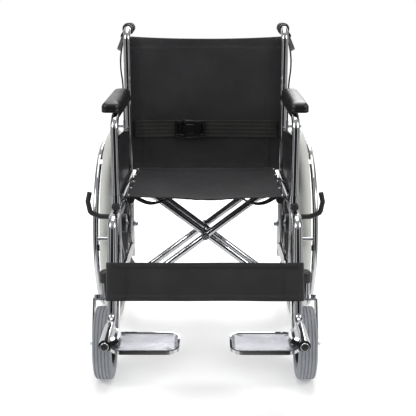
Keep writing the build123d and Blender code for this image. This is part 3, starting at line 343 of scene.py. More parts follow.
# ---------------------------------------------------------------- footplates
# Cast aluminium plates with polished rims. A pressed tread with fine ridges lies in the
# recess, and a faceted block joins the plate to its hinge sleeve.
dress([f"{side}_footplate" for side, s in SIDES], chrome)
tread_alloy = hard_finish("brushed alloy", (0.34, 0.345, 0.365), (0.28, 0.285, 0.305),
                          (0.26, 0.40), metallic=1.0, grain_size=1500.0, grain_depth=0.00008,
                          patch=22.0)
PLATE_INNER_X = 0.063
PLATE_OUTER_X = 0.236
PLATE_FRONT = 0.727
PLATE_REAR = 0.603
PLATE_TOP = 0.184
TREAD_INSET = 0.0056
TREAD_CORNER = 0.0285
RIDGE_PITCH = 0.0052
RIDGE_RISE = 0.0009
RIDGE_MARGIN = 0.006
TREAD_SINK = 0.0016
TREAD_COLUMNS = 64
TREAD_ROWS = 132
HINGE_X = 0.231
HINGE_FRONT = 0.672
HINGE_Z = 0.196
HINGE_LEAN = 0.42
HINGE_SIZE = (0.034, 0.066, 0.023)
HINGE_FACET = 0.0052


def round_edges(mesh, edges, by, steps):
    """Rounds a mesh's edges; one step gives a flat facet."""
    return bmesh.ops.bevel(mesh, geom=list(edges), offset=by, affect="EDGES", segments=steps,
                           profile=0.5, material=-1)


for side, s in SIDES:
    plate_x = sorted((s * PLATE_INNER_X, s * PLATE_OUTER_X))
    tread_low = Vector((plate_x[0] + TREAD_INSET, axle.y - PLATE_FRONT + TREAD_INSET, 0))
    tread_high = Vector((plate_x[1] - TREAD_INSET, axle.y - PLATE_REAR - TREAD_INSET, 0))
    tread_mid = (tread_low + tread_high) / 2
    half = (tread_high - tread_low) / 2
    tread = bmesh.new()
    bmesh.ops.create_grid(tread, x_segments=TREAD_COLUMNS, y_segments=TREAD_ROWS, size=1.0)
    for vert in tread.verts:
        x, y = vert.co.x * half.x, vert.co.y * half.y
        over_x = abs(x) - (half.x - TREAD_CORNER)
        over_y = abs(y) - (half.y - TREAD_CORNER)
        if over_x > 0 and over_y > 0:
            reach = math.hypot(over_x, over_y)
            pull = max(over_x, over_y) / reach
            x = math.copysign(half.x - TREAD_CORNER + over_x * pull, x)
            y = math.copysign(half.y - TREAD_CORNER + over_y * pull, y)
        ridge = math.cos(y / RIDGE_PITCH * math.tau)
        rim = min(half.x - abs(x), half.y - abs(y))
        rise = RIDGE_RISE * max(0.0, ridge) * (1.0 if rim > RIDGE_MARGIN else 0.0)
        vert.co = Vector((tread_mid.x + x, tread_mid.y + y, PLATE_TOP - TREAD_SINK + rise))
    piece = new_piece(f"{side}_tread", tread)
    piece.data.materials.append(tread_alloy)
    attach(piece, f"{side}_plate")

    block = bmesh.new()
    made = bmesh.ops.create_cube(block, size=1.0)["verts"]
    place = Matrix.Translation((s * HINGE_X, axle.y - HINGE_FRONT, HINGE_Z))
    lean = Matrix.Rotation(s * HINGE_LEAN, 4, "Y")
    bmesh.ops.transform(block, verts=made, matrix=place @ lean @ Matrix.Diagonal((*HINGE_SIZE, 1)))
    round_edges(block, block.edges, HINGE_FACET, 1)
    piece = new_piece(f"{side}_hinge_block", block)
    for face in piece.data.polygons:
        face.use_smooth = False
    piece.data.materials.append(chrome)
    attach(piece, f"{side}_plate")

# ---------------------------------------------------------------- seat sling
# A sheet of coated nylon, doubled and stitched along its front and rear edges. It is
# pulled over both seat rails, hangs between them and is screwed to the rails' tops.
weave, weave_in, weave_out = new_group(
    "weave",
    [("Thread", "NodeSocketFloat", 0.0008)],
    [("Height", "NodeSocketFloat")],
)
weave_map = node(weave, "ShaderNodeUVMap")
thread_count = node(weave, "ShaderNodeMath", [(weave_in.outputs["Thread"], 1)],
                    operation="DIVIDE")
thread_count.inputs[0].default_value = 1.0
WAVE_PERIOD = 0.314
wave_scale = node(weave, "ShaderNodeMath", [(thread_count.outputs[0], 0)],
                  operation="MULTIPLY")
wave_scale.inputs[1].default_value = WAVE_PERIOD
along_cut = [(weave_map.outputs[0], "Vector"), (wave_scale.outputs[0], "Scale")]
warp = node(weave, "ShaderNodeTexWave", along_cut, bands_direction="X")
weft = node(weave, "ShaderNodeTexWave", along_cut, bands_direction="Y")
over = node(weave, "ShaderNodeTexChecker",
            [(weave_map.outputs[0], "Vector"), (thread_count.outputs[0], "Scale")])
cross = node(weave, "ShaderNodeMix",
             [(over.outputs["Fac"], "Factor"), (warp.outputs["Fac"], "A"),
              (weft.outputs["Fac"], "B")], data_type="FLOAT")
weave.links.new(cross.outputs["Result"], weave_out.inputs[0])


def cloth_finish(name, shade_a, shade_b, rough, thread, depth, sheen):
    """Woven cloth: uneven dye, weave bump over the cloth's own UV map, and a soft sheen."""
    material = hard_finish(name, shade_a, shade_b, rough, patch=9.0)
    tree = material.node_tree
    shader = tree.nodes["Principled BSDF"]
    shader.inputs["Sheen Weight"].default_value = sheen
    shader.inputs["Sheen Roughness"].default_value = 0.4
    threads = node(tree, "ShaderNodeGroup", node_tree=weave)
    threads.inputs["Thread"].default_value = thread
    bump = node(tree, "ShaderNodeBump", [(threads.outputs[0], "Height")],
                Strength=0.7, Distance=depth)
    tree.links.new(bump.outputs[0], shader.inputs["Normal"])
    return material


def cloth_sheet(name, width, length, cuts, place, thickness):
    """A grid of cloth with its flat cut as UV map, laid on the surface that place() gives."""
    mesh = bmesh.new()
    bmesh.ops.create_grid(mesh, x_segments=cuts[0], y_segments=cuts[1], size=0.5)
    flat_map = mesh.loops.layers.uv.new("UVMap")
    for face in mesh.faces:
        for loop in face.loops:
            loop[flat_map].uv = (loop.vert.co.x * width, loop.vert.co.y * length)
    for vert in mesh.verts:
        vert.co = place(vert.co.x * width, vert.co.y * length)
    piece = new_piece(name, mesh)
    wall = piece.modifiers.new("thickness", "SOLIDIFY")
    wall.thickness = thickness
    wall.offset = 0.0
    return piece


def stitch_line(name, points, pitch=0.0042, long=0.0028, thick=0.0005):
    """A row of thread stitches along a run of points."""
    mesh = bmesh.new()
    spare = 0.0
    for start, stop in zip(points, points[1:]):
        run = stop - start
        turn = run.to_track_quat("X", "Z").to_matrix().to_4x4()
        while spare < run.length:
            at = start + run.normalized() * spare
            size = Matrix.Diagonal((long / 2, thick, thick * 0.8, 1))
            bmesh.ops.create_icosphere(mesh, subdivisions=1, radius=1.0,
                                       matrix=Matrix.Translation(at) @ turn @ size)
            spare += pitch
        spare -= run.length
    return new_piece(name, mesh)


def screw_head(mesh, at, axis, radius, height, sides=20):
    """A pan head with a hexagon socket, standing on a point and facing along an axis."""
    turn = Matrix.Translation(at) @ Vector(axis).to_track_quat("Z", "Y").to_matrix().to_4x4()
    made = bmesh.ops.create_cone(mesh, cap_ends=True, segments=sides, radius1=radius,
                                 radius2=radius, depth=height)["verts"]
    top = max({face for vert in made for face in vert.link_faces},
              key=lambda face: face.calc_center_median().z)
    rim = round_edges(mesh, top.edges, height * 0.45, 3)
    verts = {vert for vert in made if vert.is_valid} | set(rim["verts"])
    top = max({face for vert in verts for face in vert.link_faces},
              key=lambda face: face.calc_center_median().z)
    bmesh.ops.inset_individual(mesh, faces=[top], thickness=radius * 0.35)
    socket = list(top.verts)
    for vert in socket:
        vert.co.z -= height * 0.4
    verts |= set(socket)
    bmesh.ops.transform(mesh, verts=list(verts), matrix=Matrix.Translation((0, 0, height / 2)))
    bmesh.ops.transform(mesh, verts=list(verts), matrix=turn)


THREAD_R = 0.0004
SEAT_HALF = 0.206
SAG_FRONT = 0.006
SAG_REAR = 0.003
SAG_MIDDLE = 0.019
SEAT_WRAP_R = 0.0128
SEAT_WRAP = 0.018
SEAT_HEM = 0.022
SEAT_CLOTH = 0.0022
SEAT_HEM_RISE = 0.0013
SEAT_WRINKLE = 0.0035
SEAT_CREASE = 0.0012
RAIL_BELOW_TOP = 0.0138
seat_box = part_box("seat_sling")
seat_length = seat_box[1][1] - seat_box[0][1]
seat_mid_y = (seat_box[1][1] + seat_box[0][1]) / 2
rail_z = seat_box[1][2] - RAIL_BELOW_TOP
seat_width = 2 * (SEAT_HALF + SEAT_WRAP)


def seat_surface(u, v):
    """Point of the seat cloth for a point of its flat cut."""
    side = 1 if u > 0 else -1
    past = abs(u) - SEAT_HALF
    if past <= 0:
        x = u
        rise = (u / SEAT_HALF) ** 2
        along = v / seat_length + 0.5
        sag = SAG_FRONT + (SAG_REAR - SAG_FRONT) * along
        sag += SAG_MIDDLE * (1 - (2 * along - 1) ** 2)
        z = rail_z + SEAT_WRAP_R - sag * (1 - rise)
    else:
        angle = past / SEAT_WRAP_R
        x = side * (SEAT_HALF + SEAT_WRAP_R * math.sin(angle))
        z = rail_z + SEAT_WRAP_R * math.cos(angle)
    edge = seat_length / 2 - abs(v)
    z += SEAT_HEM_RISE if edge < SEAT_HEM and past <= 0 else 0.0
    give = max(0.0, 1 - (abs(u) / SEAT_HALF) ** 2)
    z += SEAT_WRINKLE * give * noise.noise(Vector((u * 9, v * 7, 0.3)))
    z += SEAT_CREASE * give * noise.noise(Vector((u * 55, v * 18, 4.1)))
    return Vector((x, seat_mid_y + v, z))


NYLON_THREAD = 0.0009
NYLON_BUMP = 0.00025
dark_cloth = cloth_finish("charcoal nylon", (0.014, 0.014, 0.016), (0.021, 0.021, 0.024),
                          (0.54, 0.68), NYLON_THREAD, NYLON_BUMP, 0.10)
seat = cloth_sheet("seat_cloth", seat_width, seat_length, (110, 96), seat_surface, SEAT_CLOTH)
seat.data.materials.append(dark_cloth)
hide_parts("seat_sling")
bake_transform(seat)

# the under-strap at the front of the seat: a doubled band that hangs lower near each rail
STRAP_DROP = 0.020
STRAP_BULGE = 0.105
STRAP_FROM = 0.012
STRAP_WIDTH = 0.046
STRAP_CLOTH = 0.0024
STRAP_BELOW = 0.0026
STRAP_TUCK = 0.985
STRAP_WAVE = 0.0015


def under_strap(u, v):
    """Point of the band under the seat's front edge."""
    point = seat_surface(u, STRAP_FROM + STRAP_WIDTH / 2 + v - seat_length / 2)
    y = seat_box[0][1] + STRAP_FROM + STRAP_WIDTH / 2 + v
    bulge = math.sin(math.pi * min(1.0, max(0.0, SEAT_HALF - abs(u)) / STRAP_BULGE))
    wave = STRAP_WAVE * noise.noise(Vector((u * 14, v * 20, 7.7)))
    low = point.z - STRAP_BELOW - STRAP_DROP * bulge + wave
    return Vector((point.x * STRAP_TUCK, y, low))


strap = cloth_sheet("seat_under_strap", 2 * SEAT_HALF, STRAP_WIDTH, (90, 10), under_strap,
                    STRAP_CLOTH)
strap.data.materials.append(dark_cloth)
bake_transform(strap)

# stitching of the hems, and the screws with their cup washers along both rails
thread = hard_finish("black thread", (0.016, 0.016, 0.017), (0.030, 0.030, 0.032), (0.45, 0.6),
                     patch=60.0)
SEAT_SCREWS = 5
SCREW_OUT = 0.52
SCREW_MARGIN = 0.034
WASHER_R, WASHER_TALL = 0.0062, 0.0014
SEAT_SCREW_R, SEAT_SCREW_TALL = 0.0040, 0.0024
SEAM_STEPS = 30
bright_screw = hard_finish("nickel screws", (0.72, 0.72, 0.74), (0.60, 0.60, 0.63), (0.14, 0.26),
                           metallic=1.0, patch=80.0)
seam_lift = Vector((0, 0, SEAT_CLOTH / 2 + THREAD_R))
for v in (seat_length / 2 - SEAT_HEM, SEAT_HEM - seat_length / 2):
    for body, u_from, u_to in (("cross_arm_b", -SEAT_HALF, 0.0), ("cross_arm_a", 0.0, SEAT_HALF)):
        run = [seat_surface(u_from + (u_to - u_from) * k / SEAM_STEPS, v) + seam_lift
               for k in range(SEAM_STEPS + 1)]
        seam = stitch_line(f"seat_stitches_{'front' if v < 0 else 'rear'}_{body[-1]}", run)
        seam.data.materials.append(thread)
        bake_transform(seam)
for body, s in (("cross_arm_b", -1), ("cross_arm_a", 1)):
    screws = bmesh.new()
    washers = bmesh.new()
    for k in range(SEAT_SCREWS):
        v = (k / (SEAT_SCREWS - 1) - 0.5) * (seat_length - SCREW_MARGIN)
        out_way = Vector((s * math.sin(SCREW_OUT), 0, math.cos(SCREW_OUT)))
        seat_at = Vector((s * SEAT_HALF, seat_mid_y + v, rail_z))
        seat_at += out_way * (SEAT_WRAP_R + SEAT_CLOTH / 2)
        screw_head(washers, seat_at, out_way, WASHER_R, WASHER_TALL)
        screw_head(screws, seat_at + out_way * WASHER_TALL, out_way, SEAT_SCREW_R, SEAT_SCREW_TALL)
    for name, mesh in (("seat_screws", screws), ("seat_screw_washers", washers)):
        piece = new_piece(f"{name}_{body[-1]}", mesh)
        piece.data.materials.append(bright_screw)
        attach(piece, body)

# ---------------------------------------------------------------- back sling
# One nylon panel between the back posts. It goes round behind each post and is screwed
# there, with hems at top and bottom and a seam down each side.
LEVER_TO_POST = 0.0114
POST_X = abs(joints["left_squeeze"]["pos_m"][0]) - LEVER_TO_POST
BACK_WRAP_R = 0.0127
BACK_WRAP = 0.0075
BACK_BOW = 0.0155
BACK_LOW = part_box("back_sling")[0][2]
BACK_TOP_SIDE = 0.898
BACK_TOP_MID = 0.890
BACK_HEM = 0.026
BACK_SEAM_X = 0.196
BACK_CLOTH = 0.0022
BACK_HEM_RISE = 0.0013
BACK_SEAM_DIP = 0.0010
BACK_SEAM_WIDE = 0.004
BACK_WRINKLE = 0.0050
BACK_CREASE = 0.0016
HANDLE_Z = 0.918
HANDLE_BEND = 0.036


def back_surface(u, z):
    """Point of the back cloth, u across from the middle, at a height z."""
    side = 1 if u > 0 else -1
    past = abs(u) - POST_X
    if past <= 0:
        share = (u / POST_X) ** 2
        x = u
        y = BACK_WRAP_R + BACK_BOW * (1 - share)
    else:
        share = 1.0
        angle = past / BACK_WRAP_R
        x = side * (POST_X + BACK_WRAP_R * math.sin(angle))
        y = BACK_WRAP_R * math.cos(angle)
    bend = max(0.0, z - (HANDLE_Z - HANDLE_BEND)) / HANDLE_BEND
    y += HANDLE_BEND * (1 - math.sqrt(1 - bend**2)) * share
    y += BACK_HEM_RISE if z > BACK_TOP_MID - BACK_HEM or z < BACK_LOW + BACK_HEM else 0.0
    near_seam = abs(abs(u) - BACK_SEAM_X) / BACK_SEAM_WIDE
    y -= BACK_SEAM_DIP * math.exp(-near_seam**2)
    give = max(0.0, 1 - (u / POST_X) ** 2)
    y += BACK_WRINKLE * give * noise.noise(Vector((u * 7, z * 6, 2.2)))
    y += BACK_CREASE * give * noise.noise(Vector((u * 26, z * 11, 5.9)))
    return Vector((x, axle.y + y, z))


def back_cut(u, v):
    """Point of the back cloth for a point of its flat cut, with the dipped top edge."""
    top = BACK_TOP_MID + (BACK_TOP_SIDE - BACK_TOP_MID) * min(1.0, (u / POST_X) ** 2)
    share = v / BACK_LENGTH + 0.5
    return back_surface(u, BACK_LOW + (top - BACK_LOW) * share)


BACK_LENGTH = (BACK_TOP_SIDE + BACK_TOP_MID) / 2 - BACK_LOW
BACK_WIDTH = 2 * (POST_X + BACK_WRAP)
back = cloth_sheet("back_cloth", BACK_WIDTH, BACK_LENGTH, (130, 104), back_cut, BACK_CLOTH)
back.data.materials.append(dark_cloth)
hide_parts("back_sling")
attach(back, "right_frame")
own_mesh(back)

RUN_STEPS = 40
BACK_RUN_HALF = 0.23
SEAM_APART = 0.005
SEAM_ROW = 0.01
across_back = [u / RUN_STEPS * BACK_RUN_HALF for u in range(-RUN_STEPS, RUN_STEPS + 1)]
up_back = [BACK_LOW + k * SEAM_ROW for k in range(1, RUN_STEPS + 1)]
back_runs = {
    "top": [(u, BACK_TOP_MID - BACK_HEM) for u in across_back],
    "bottom": [(u, BACK_LOW + BACK_HEM) for u in across_back],
}
for side, s in SIDES:
    for row, step in (("inner", -1), ("outer", 1)):
        seam_u = s * (BACK_SEAM_X + step * SEAM_APART)
        back_runs[f"{side}_{row}"] = [(seam_u, z) for z in up_back]
for label, places in back_runs.items():
    for face, step in (("front", -1), ("rear", 1)):
        off_cloth = Vector((0, step * (BACK_CLOTH / 2 + THREAD_R), 0))
        run = [back_surface(u, z) + off_cloth for u, z in places]
        seam = stitch_line(f"back_stitches_{label}_{face}", run)
        seam.data.materials.append(thread)
        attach(seam, "right_frame")
        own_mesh(seam)

BACK_SCREWS = (0.505, 0.59, 0.68, 0.77, 0.862)
BACK_SCREW_OFF = 0.0015
BACK_WASHER_R, BACK_WASHER_TALL = 0.0065, 0.0016
BACK_SCREW_R, BACK_SCREW_TALL = 0.0042, 0.0026
for side, s in SIDES:
    screws = bmesh.new()
    for z in BACK_SCREWS:
        at = Vector((s * POST_X, axle.y + BACK_WRAP_R + BACK_SCREW_OFF, z))
        screw_head(screws, at, (0, 1, 0), BACK_WASHER_R, BACK_WASHER_TALL)
        at += Vector((0, BACK_WASHER_TALL, 0))
        screw_head(screws, at, (0, 1, 0), BACK_SCREW_R, BACK_SCREW_TALL)
    piece = new_piece(f"{side}_back_screws", screws)
    piece.data.materials.append(bright_screw)
    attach(piece, f"{side}_frame")

# ---------------------------------------------------------------- safety belt
# Ribbed woven webbing that lies across the back panel, sewn down with a crossed box of
# stitches near each side.
BELT_Z = 0.610
BELT_WIDE = 0.054
BELT_HALF = 0.226
BELT_CLOTH = 0.0018
BELT_LIFT = 0.0034
BELT_RIBS = 9
BELT_RIB = 0.00035
BELT_EDGE = 0.0004
BELT_EDGE_WIDE = 0.003
webbing = cloth_finish("black webbing", (0.016, 0.015, 0.014), (0.025, 0.023, 0.021),
                       (0.55, 0.7), 0.0016, 0.0004, 0.1)


def belt_place(u, v, lift=BELT_LIFT):
    """Point of the belt on the front of the back cloth."""
    on_back = back_surface(u, BELT_Z + v)
    rib = BELT_RIB * math.cos(v / BELT_WIDE * math.pi * BELT_RIBS)
    edge = BELT_EDGE if abs(v) > BELT_WIDE / 2 - BELT_EDGE_WIDE else 0.0
    return on_back + Vector((0, -lift - rib - edge, 0))


belt = cloth_sheet("belt_webbing", 2 * BELT_HALF, BELT_WIDE, (100, 28), belt_place, BELT_CLOTH)
belt.data.materials.append(webbing)
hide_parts("safety_belt")
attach(belt, "right_frame")
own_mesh(belt)
BOX_HALF = 0.017
BOX_X = 0.204
BOX_LIFT = 0.0048
for label, s in SIDES:
    corners = [(-1, -1), (1, -1), (1, 1), (-1, 1), (-1, -1), (1, 1)]
    run = [belt_place(s * BOX_X + a * BOX_HALF, b * BOX_HALF, BOX_LIFT) for a, b in corners]
    seam = stitch_line(f"belt_box_stitch_{label}", run)
    seam.data.materials.append(thread)
    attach(seam, "right_frame")
    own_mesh(seam)

# ---------------------------------------------------------------- belt buckle
# Side release buckle: a socket body, a plug with two squeeze arms, and ladder bars at each
# end that the webbing goes through, moulded in glossy nylon.
buckle_low, buckle_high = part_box("belt_buckle")
buckle_mid = (buckle_low + buckle_high) / 2
BUCKLE_OFF_BELT = 0.0022
buckle_face_y = belt_place(buckle_mid.x, 0).y - BUCKLE_OFF_BELT


def buckle_block(mesh, x_span, z_half, depth, round_by, z_mid=0.0):
    """A block with rounded edges on the front of the belt."""
    made = bmesh.ops.create_cube(mesh, size=1.0)["verts"]
    size = Matrix.Diagonal((x_span[1] - x_span[0], depth, 2 * z_half, 1))
    middle = Vector(((x_span[0] + x_span[1]) / 2, buckle_face_y - depth / 2, BELT_Z + z_mid))
    bmesh.ops.transform(mesh, verts=made, matrix=Matrix.Translation(middle) @ size)
    edges = {edge for vert in made for edge in vert.link_edges}
    round_edges(mesh, edges, round_by, 4)


buckle = bmesh.new()
x0, x1 = buckle_low.x, buckle_high.x
half_tall = (buckle_high.z - buckle_low.z) / 2
buckle_block(buckle, (x0 + 0.030, x0 + 0.066), half_tall, 0.0115, 0.0042)
buckle_block(buckle, (x0 + 0.036, x0 + 0.060), half_tall - 0.012, 0.0130, 0.0030)
buckle_block(buckle, (x0 + 0.064, x0 + 0.079), half_tall - 0.001, 0.0095, 0.0034)
for end in (-1, 1):
    arm_z = end * (half_tall - 0.0045)
    ladder_z = end * (half_tall - 0.0060)
    buckle_block(buckle, (x0 + 0.022, x0 + 0.056), 0.0062, 0.0086, 0.0028, z_mid=arm_z)
    buckle_block(buckle, (x0 + 0.002, x0 + 0.030), 0.0042, 0.0072, 0.0020, z_mid=ladder_z)
    buckle_block(buckle, (x0 + 0.070, x1 - 0.001), 0.0042, 0.0072, 0.0020, z_mid=ladder_z)
for bar in (x0 + 0.001, x0 + 0.013, x1 - 0.017, x1 - 0.006):
    buckle_block(buckle, (bar, bar + 0.0055), half_tall - 0.003, 0.0068, 0.0024)
buckle_piece = new_piece("belt_buckle_body", buckle)
buckle_black = hard_finish("gloss black moulding", (0.008, 0.008, 0.009), (0.014, 0.014, 0.015),
                           (0.14, 0.24), grain_size=1600.0, grain_depth=0.00006)
buckle_piece.data.materials.append(buckle_black)
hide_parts("belt_buckle")
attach(buckle_piece, "right_frame")
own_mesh(buckle_piece)

# ---------------------------------------------------------------- calf strap
# A wide band of the same nylon, hemmed, wrapped round both footrest hangers and
# closed behind them, so that it lies in the slant of the hangers. Its finish is a darker copy of the
# seat's nylon: painted shade.
strap_low, strap_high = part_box("calf_strap")
HANGER_X = 0.246
CALF_R = 0.0146
CALF_TALL = 0.101
CALF_RETURN = 0.030
CALF_RAISE = 0.004
CALF_CLOTH = 0.0022
CALF_SLACK = 0.006
CALF_HEM = 0.014
CALF_HEM_RISE = 0.0011
CALF_TUCK_X = 0.206
CALF_TUCK_WIDE = 0.003
CALF_TUCK = 0.0012
CALF_WRINKLE = 0.0035
CALF_CREASE = 0.0012
CALF_EDGE_DIP = 0.0025
SLIDE_AXIS = Vector(joints["left_leg_slide"]["axis"])
strap_centre = (strap_low + strap_high) / 2
calf_up = -SLIDE_AXIS
calf_front = Vector((0, -calf_up.z, calf_up.y))
CALF_QUARTER = CALF_R * math.pi
CALF_HALF = HANGER_X + CALF_QUARTER + CALF_RETURN
hanger_mid = Vector((0, strap_centre.y, strap_centre.z)) + calf_up * CALF_RAISE


def calf_place(u, v):
    """Point of the calf strap, u along the band from its middle, v up its width."""
    side = 1 if u > 0 else -1
    past = abs(u) - HANGER_X
    if past <= 0:
        x, front = u, CALF_R
    elif past <= CALF_QUARTER:
        angle = past / CALF_R
        x = side * (HANGER_X + CALF_R * math.sin(angle))
        front = CALF_R * math.cos(angle)
    else:
        x = side * (HANGER_X - (past - CALF_QUARTER))
        front = -CALF_R
    give = max(0.0, 1 - (abs(u) / HANGER_X) ** 4)
    slack = -CALF_SLACK * max(0.0, 1 - (u / HANGER_X) ** 2) if past <= 0 else 0.0
    hem = CALF_HEM_RISE if abs(v) > CALF_TALL / 2 - CALF_HEM and past <= 0 else 0.0
    seam = -CALF_TUCK * math.exp(-(((abs(u) - CALF_TUCK_X) / CALF_TUCK_WIDE) ** 2))
    ripple = give * (CALF_WRINKLE * noise.noise(Vector((u * 8, v * 9, 1.1))) +
                     CALF_CREASE * noise.noise(Vector((u * 30, v * 12, 8.4))))
    edge_dip = CALF_EDGE_DIP * give * noise.noise(Vector((u * 5, 0.0, 3.3)))
    return (hanger_mid + Vector((x, 0, 0)) + calf_front * (front + slack + hem + seam + ripple)
            + calf_up * (v + edge_dip))


calf = cloth_sheet("calf_band", 2 * CALF_HALF, CALF_TALL, (190, 34), calf_place, CALF_CLOTH)
# the strap's nylon is a darker copy of the seat's charcoal nylon: painted shade on the strap
painted_shade_nylon = cloth_finish("nylon darkened as painted shade", (0.008, 0.008, 0.009), (0.012, 0.012, 0.013),
                                (0.54, 0.66), NYLON_THREAD, NYLON_BUMP, 0.08)
calf.data.materials.append(painted_shade_nylon)
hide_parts("calf_strap")
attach(calf, "right_frame")
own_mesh(calf)
CALF_RUN_HALF = 0.24
CALF_SEAM_X = 0.209
CALF_SEAM_HALF = 0.048
across_calf = [u / RUN_STEPS * CALF_RUN_HALF for u in range(-RUN_STEPS, RUN_STEPS + 1)]
up_calf = [v / 10 * CALF_SEAM_HALF for v in range(-10, 11)]
calf_runs = {
    "top": [(u, CALF_TALL / 2 - CALF_HEM) for u in across_calf],
    "bottom": [(u, CALF_HEM - CALF_TALL / 2) for u in across_calf],
    "right": [(-CALF_SEAM_X, v) for v in up_calf],
    "left": [(CALF_SEAM_X, v) for v in up_calf],
}
for label, places in calf_runs.items():
    run = [calf_place(u, v) + calf_front * (CALF_CLOTH / 2 + THREAD_R) for u, v in places]
    seam = stitch_line(f"calf_stitches_{label}", run)
    seam.data.materials.append(thread)
    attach(seam, "right_frame")
    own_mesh(seam)

# ---------------------------------------------------------------- armrest pads
# Polyurethane skin foamed over a steel plate: crowned on top, rounded at the ends, with
# the mould's parting line low on the sides.
pad_skin = hard_finish("black skin foam", (0.007, 0.007, 0.008), (0.011, 0.011, 0.012), (0.26, 0.36),
                       grain_size=700.0, grain_depth=0.00018, patch=16.0)
PAD_CORNER = 0.016
PAD_SHOULDER = 0.0125
PAD_CROWN = 0.0035
PAD_FOOT = 0.003
PAD_ROWS = 48
PAD_COLUMNS = 10
PAD_DIMPLE = 0.0006
PAD_TOP_SHARE = 0.6
PARTING = 0.0012
PARTING_UP = 0.36
PARTING_BAND = (0.30, PARTING_UP, 0.42)


def cut_across(mesh, at, facing):
    """Cuts the faces of a mesh along a plane, so that they can be shaped."""
    bmesh.ops.bisect_plane(mesh, geom=mesh.verts[:] + mesh.edges[:] + mesh.faces[:], dist=1e-6,
                           plane_co=at, plane_no=facing)


for side, s in SIDES:
    pad_low, pad_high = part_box(f"{side}_armrest_pad")
    pad_mid = (pad_low + pad_high) / 2
    pad_size = pad_high - pad_low
    pad = bmesh.new()
    bmesh.ops.create_cube(pad, size=1.0)
    pad_matrix = Matrix.Translation(pad_mid) @ Matrix.Diagonal((*pad_size, 1))
    bmesh.ops.transform(pad, verts=pad.verts, matrix=pad_matrix)
    posts = [edge for edge in pad.edges if abs(edge.verts[0].co.z - edge.verts[1].co.z) > 0.001]
    round_edges(pad, posts, PAD_CORNER, 8)
    top_rim = [edge for edge in pad.edges if min(v.co.z for v in edge.verts) > pad_high.z - 0.001]
    round_edges(pad, top_rim, PAD_SHOULDER, 6)
    foot_rim = [edge for edge in pad.edges if max(v.co.z for v in edge.verts) < pad_low.z + 0.001]
    round_edges(pad, foot_rim, PAD_FOOT, 3)
    for cut in range(1, PAD_ROWS):
        cut_across(pad, (0, pad_low.y + pad_size.y * cut / PAD_ROWS, 0), (0, 1, 0))
    for cut in range(1, PAD_COLUMNS):
        cut_across(pad, (pad_low.x + pad_size.x * cut / PAD_COLUMNS, 0, 0), (1, 0, 0))
    for height in PARTING_BAND:
        cut_across(pad, (0, 0, pad_low.z + pad_size.z * height), (0, 0, 1))
    for vert in pad.verts:
        across = (vert.co.x - pad_mid.x) / (pad_size.x / 2)
        endwise = (vert.co.y - pad_mid.y) / (pad_size.y / 2)
        up = (vert.co.z - pad_low.z) / pad_size.z
        if up > PAD_TOP_SHARE:
            vert.co.z += PAD_CROWN * (1 - across**2) * (1 - endwise**8)
            vert.co.z += PAD_DIMPLE * noise.noise(Vector((vert.co.x * 18, vert.co.y * 14, 0.9)))
        if abs(up - PARTING_UP) < 0.01:
            vert.co.x -= across * PARTING * 0.8
            vert.co.y -= endwise**9 * PARTING
    piece = new_piece(f"{side}_arm_pad", pad)
    piece.data.materials.append(pad_skin)
    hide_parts(f"{side}_armrest_pad")
    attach(piece, f"{side}_frame")

# ---------------------------------------------------------------- push grips
# Moulded rubber sleeves with a flange at the front, shallow finger rings and a domed
# closed end.
grip_rubber = hard_finish("grip rubber", (0.016, 0.016, 0.017), (0.026, 0.026, 0.028), (0.48, 0.64),
                          grain_size=900.0, grain_depth=0.00025)
GRIP_RINGS = 9
GRIP_BORE = 0.0108
GRIP_FLANGE = 0.003
RING_DEEP = 0.0015
for side, s in SIDES:
    grip_low, grip_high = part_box(f"{side}_push_grip")
    grip_mid = (grip_low + grip_high) / 2
    grip_r = (grip_high.z - grip_low.z) / 2
    body_r = grip_r - GRIP_FLANGE
    y0, y1 = grip_low.y, grip_high.y
    outline = [(y0, GRIP_BORE), (y0, grip_r - 0.0012), (y0 + 0.0012, grip_r),
               (y0 + 0.0040, grip_r), (y0 + 0.0056, grip_r - 0.0012),
               (y0 + 0.0072, body_r - 0.0008)]
    ring_from, ring_to = y0 + 0.011, y1 - 0.012
    for ring in range(GRIP_RINGS):
        start = ring_from + (ring_to - ring_from) * ring / GRIP_RINGS
        long = (ring_to - ring_from) / GRIP_RINGS
        outline += [(start + long * 0.15, body_r - RING_DEEP), (start + long * 0.35, body_r),
                    (start + long * 0.80, body_r), (start + long, body_r - RING_DEEP)]
    outline += [(y1 - 0.010, body_r), (y1 - 0.004, body_r - 0.0006), (y1 - 0.0012, body_r - 0.0030),
                (y1, body_r - 0.0070), (y1, 0.0)]
    grip = bmesh.new()
    verts = [grip.verts.new((grip_mid.x, y, grip_mid.z + r)) for y, r in outline]
    for a, b in zip(verts, verts[1:]):
        grip.edges.new((a, b))
    bmesh.ops.spin(grip, geom=grip.verts[:] + grip.edges[:], cent=(grip_mid.x, 0, grip_mid.z),
                   axis=(0, 1, 0), angle=math.tau, steps=48, use_merge=True)
    bmesh.ops.remove_doubles(grip, verts=grip.verts, dist=1e-5)
    piece = new_piece(f"{side}_grip_sleeve", grip)
    piece.data.materials.append(grip_rubber)
    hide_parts(f"{side}_push_grip")
    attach(piece, f"{side}_frame")

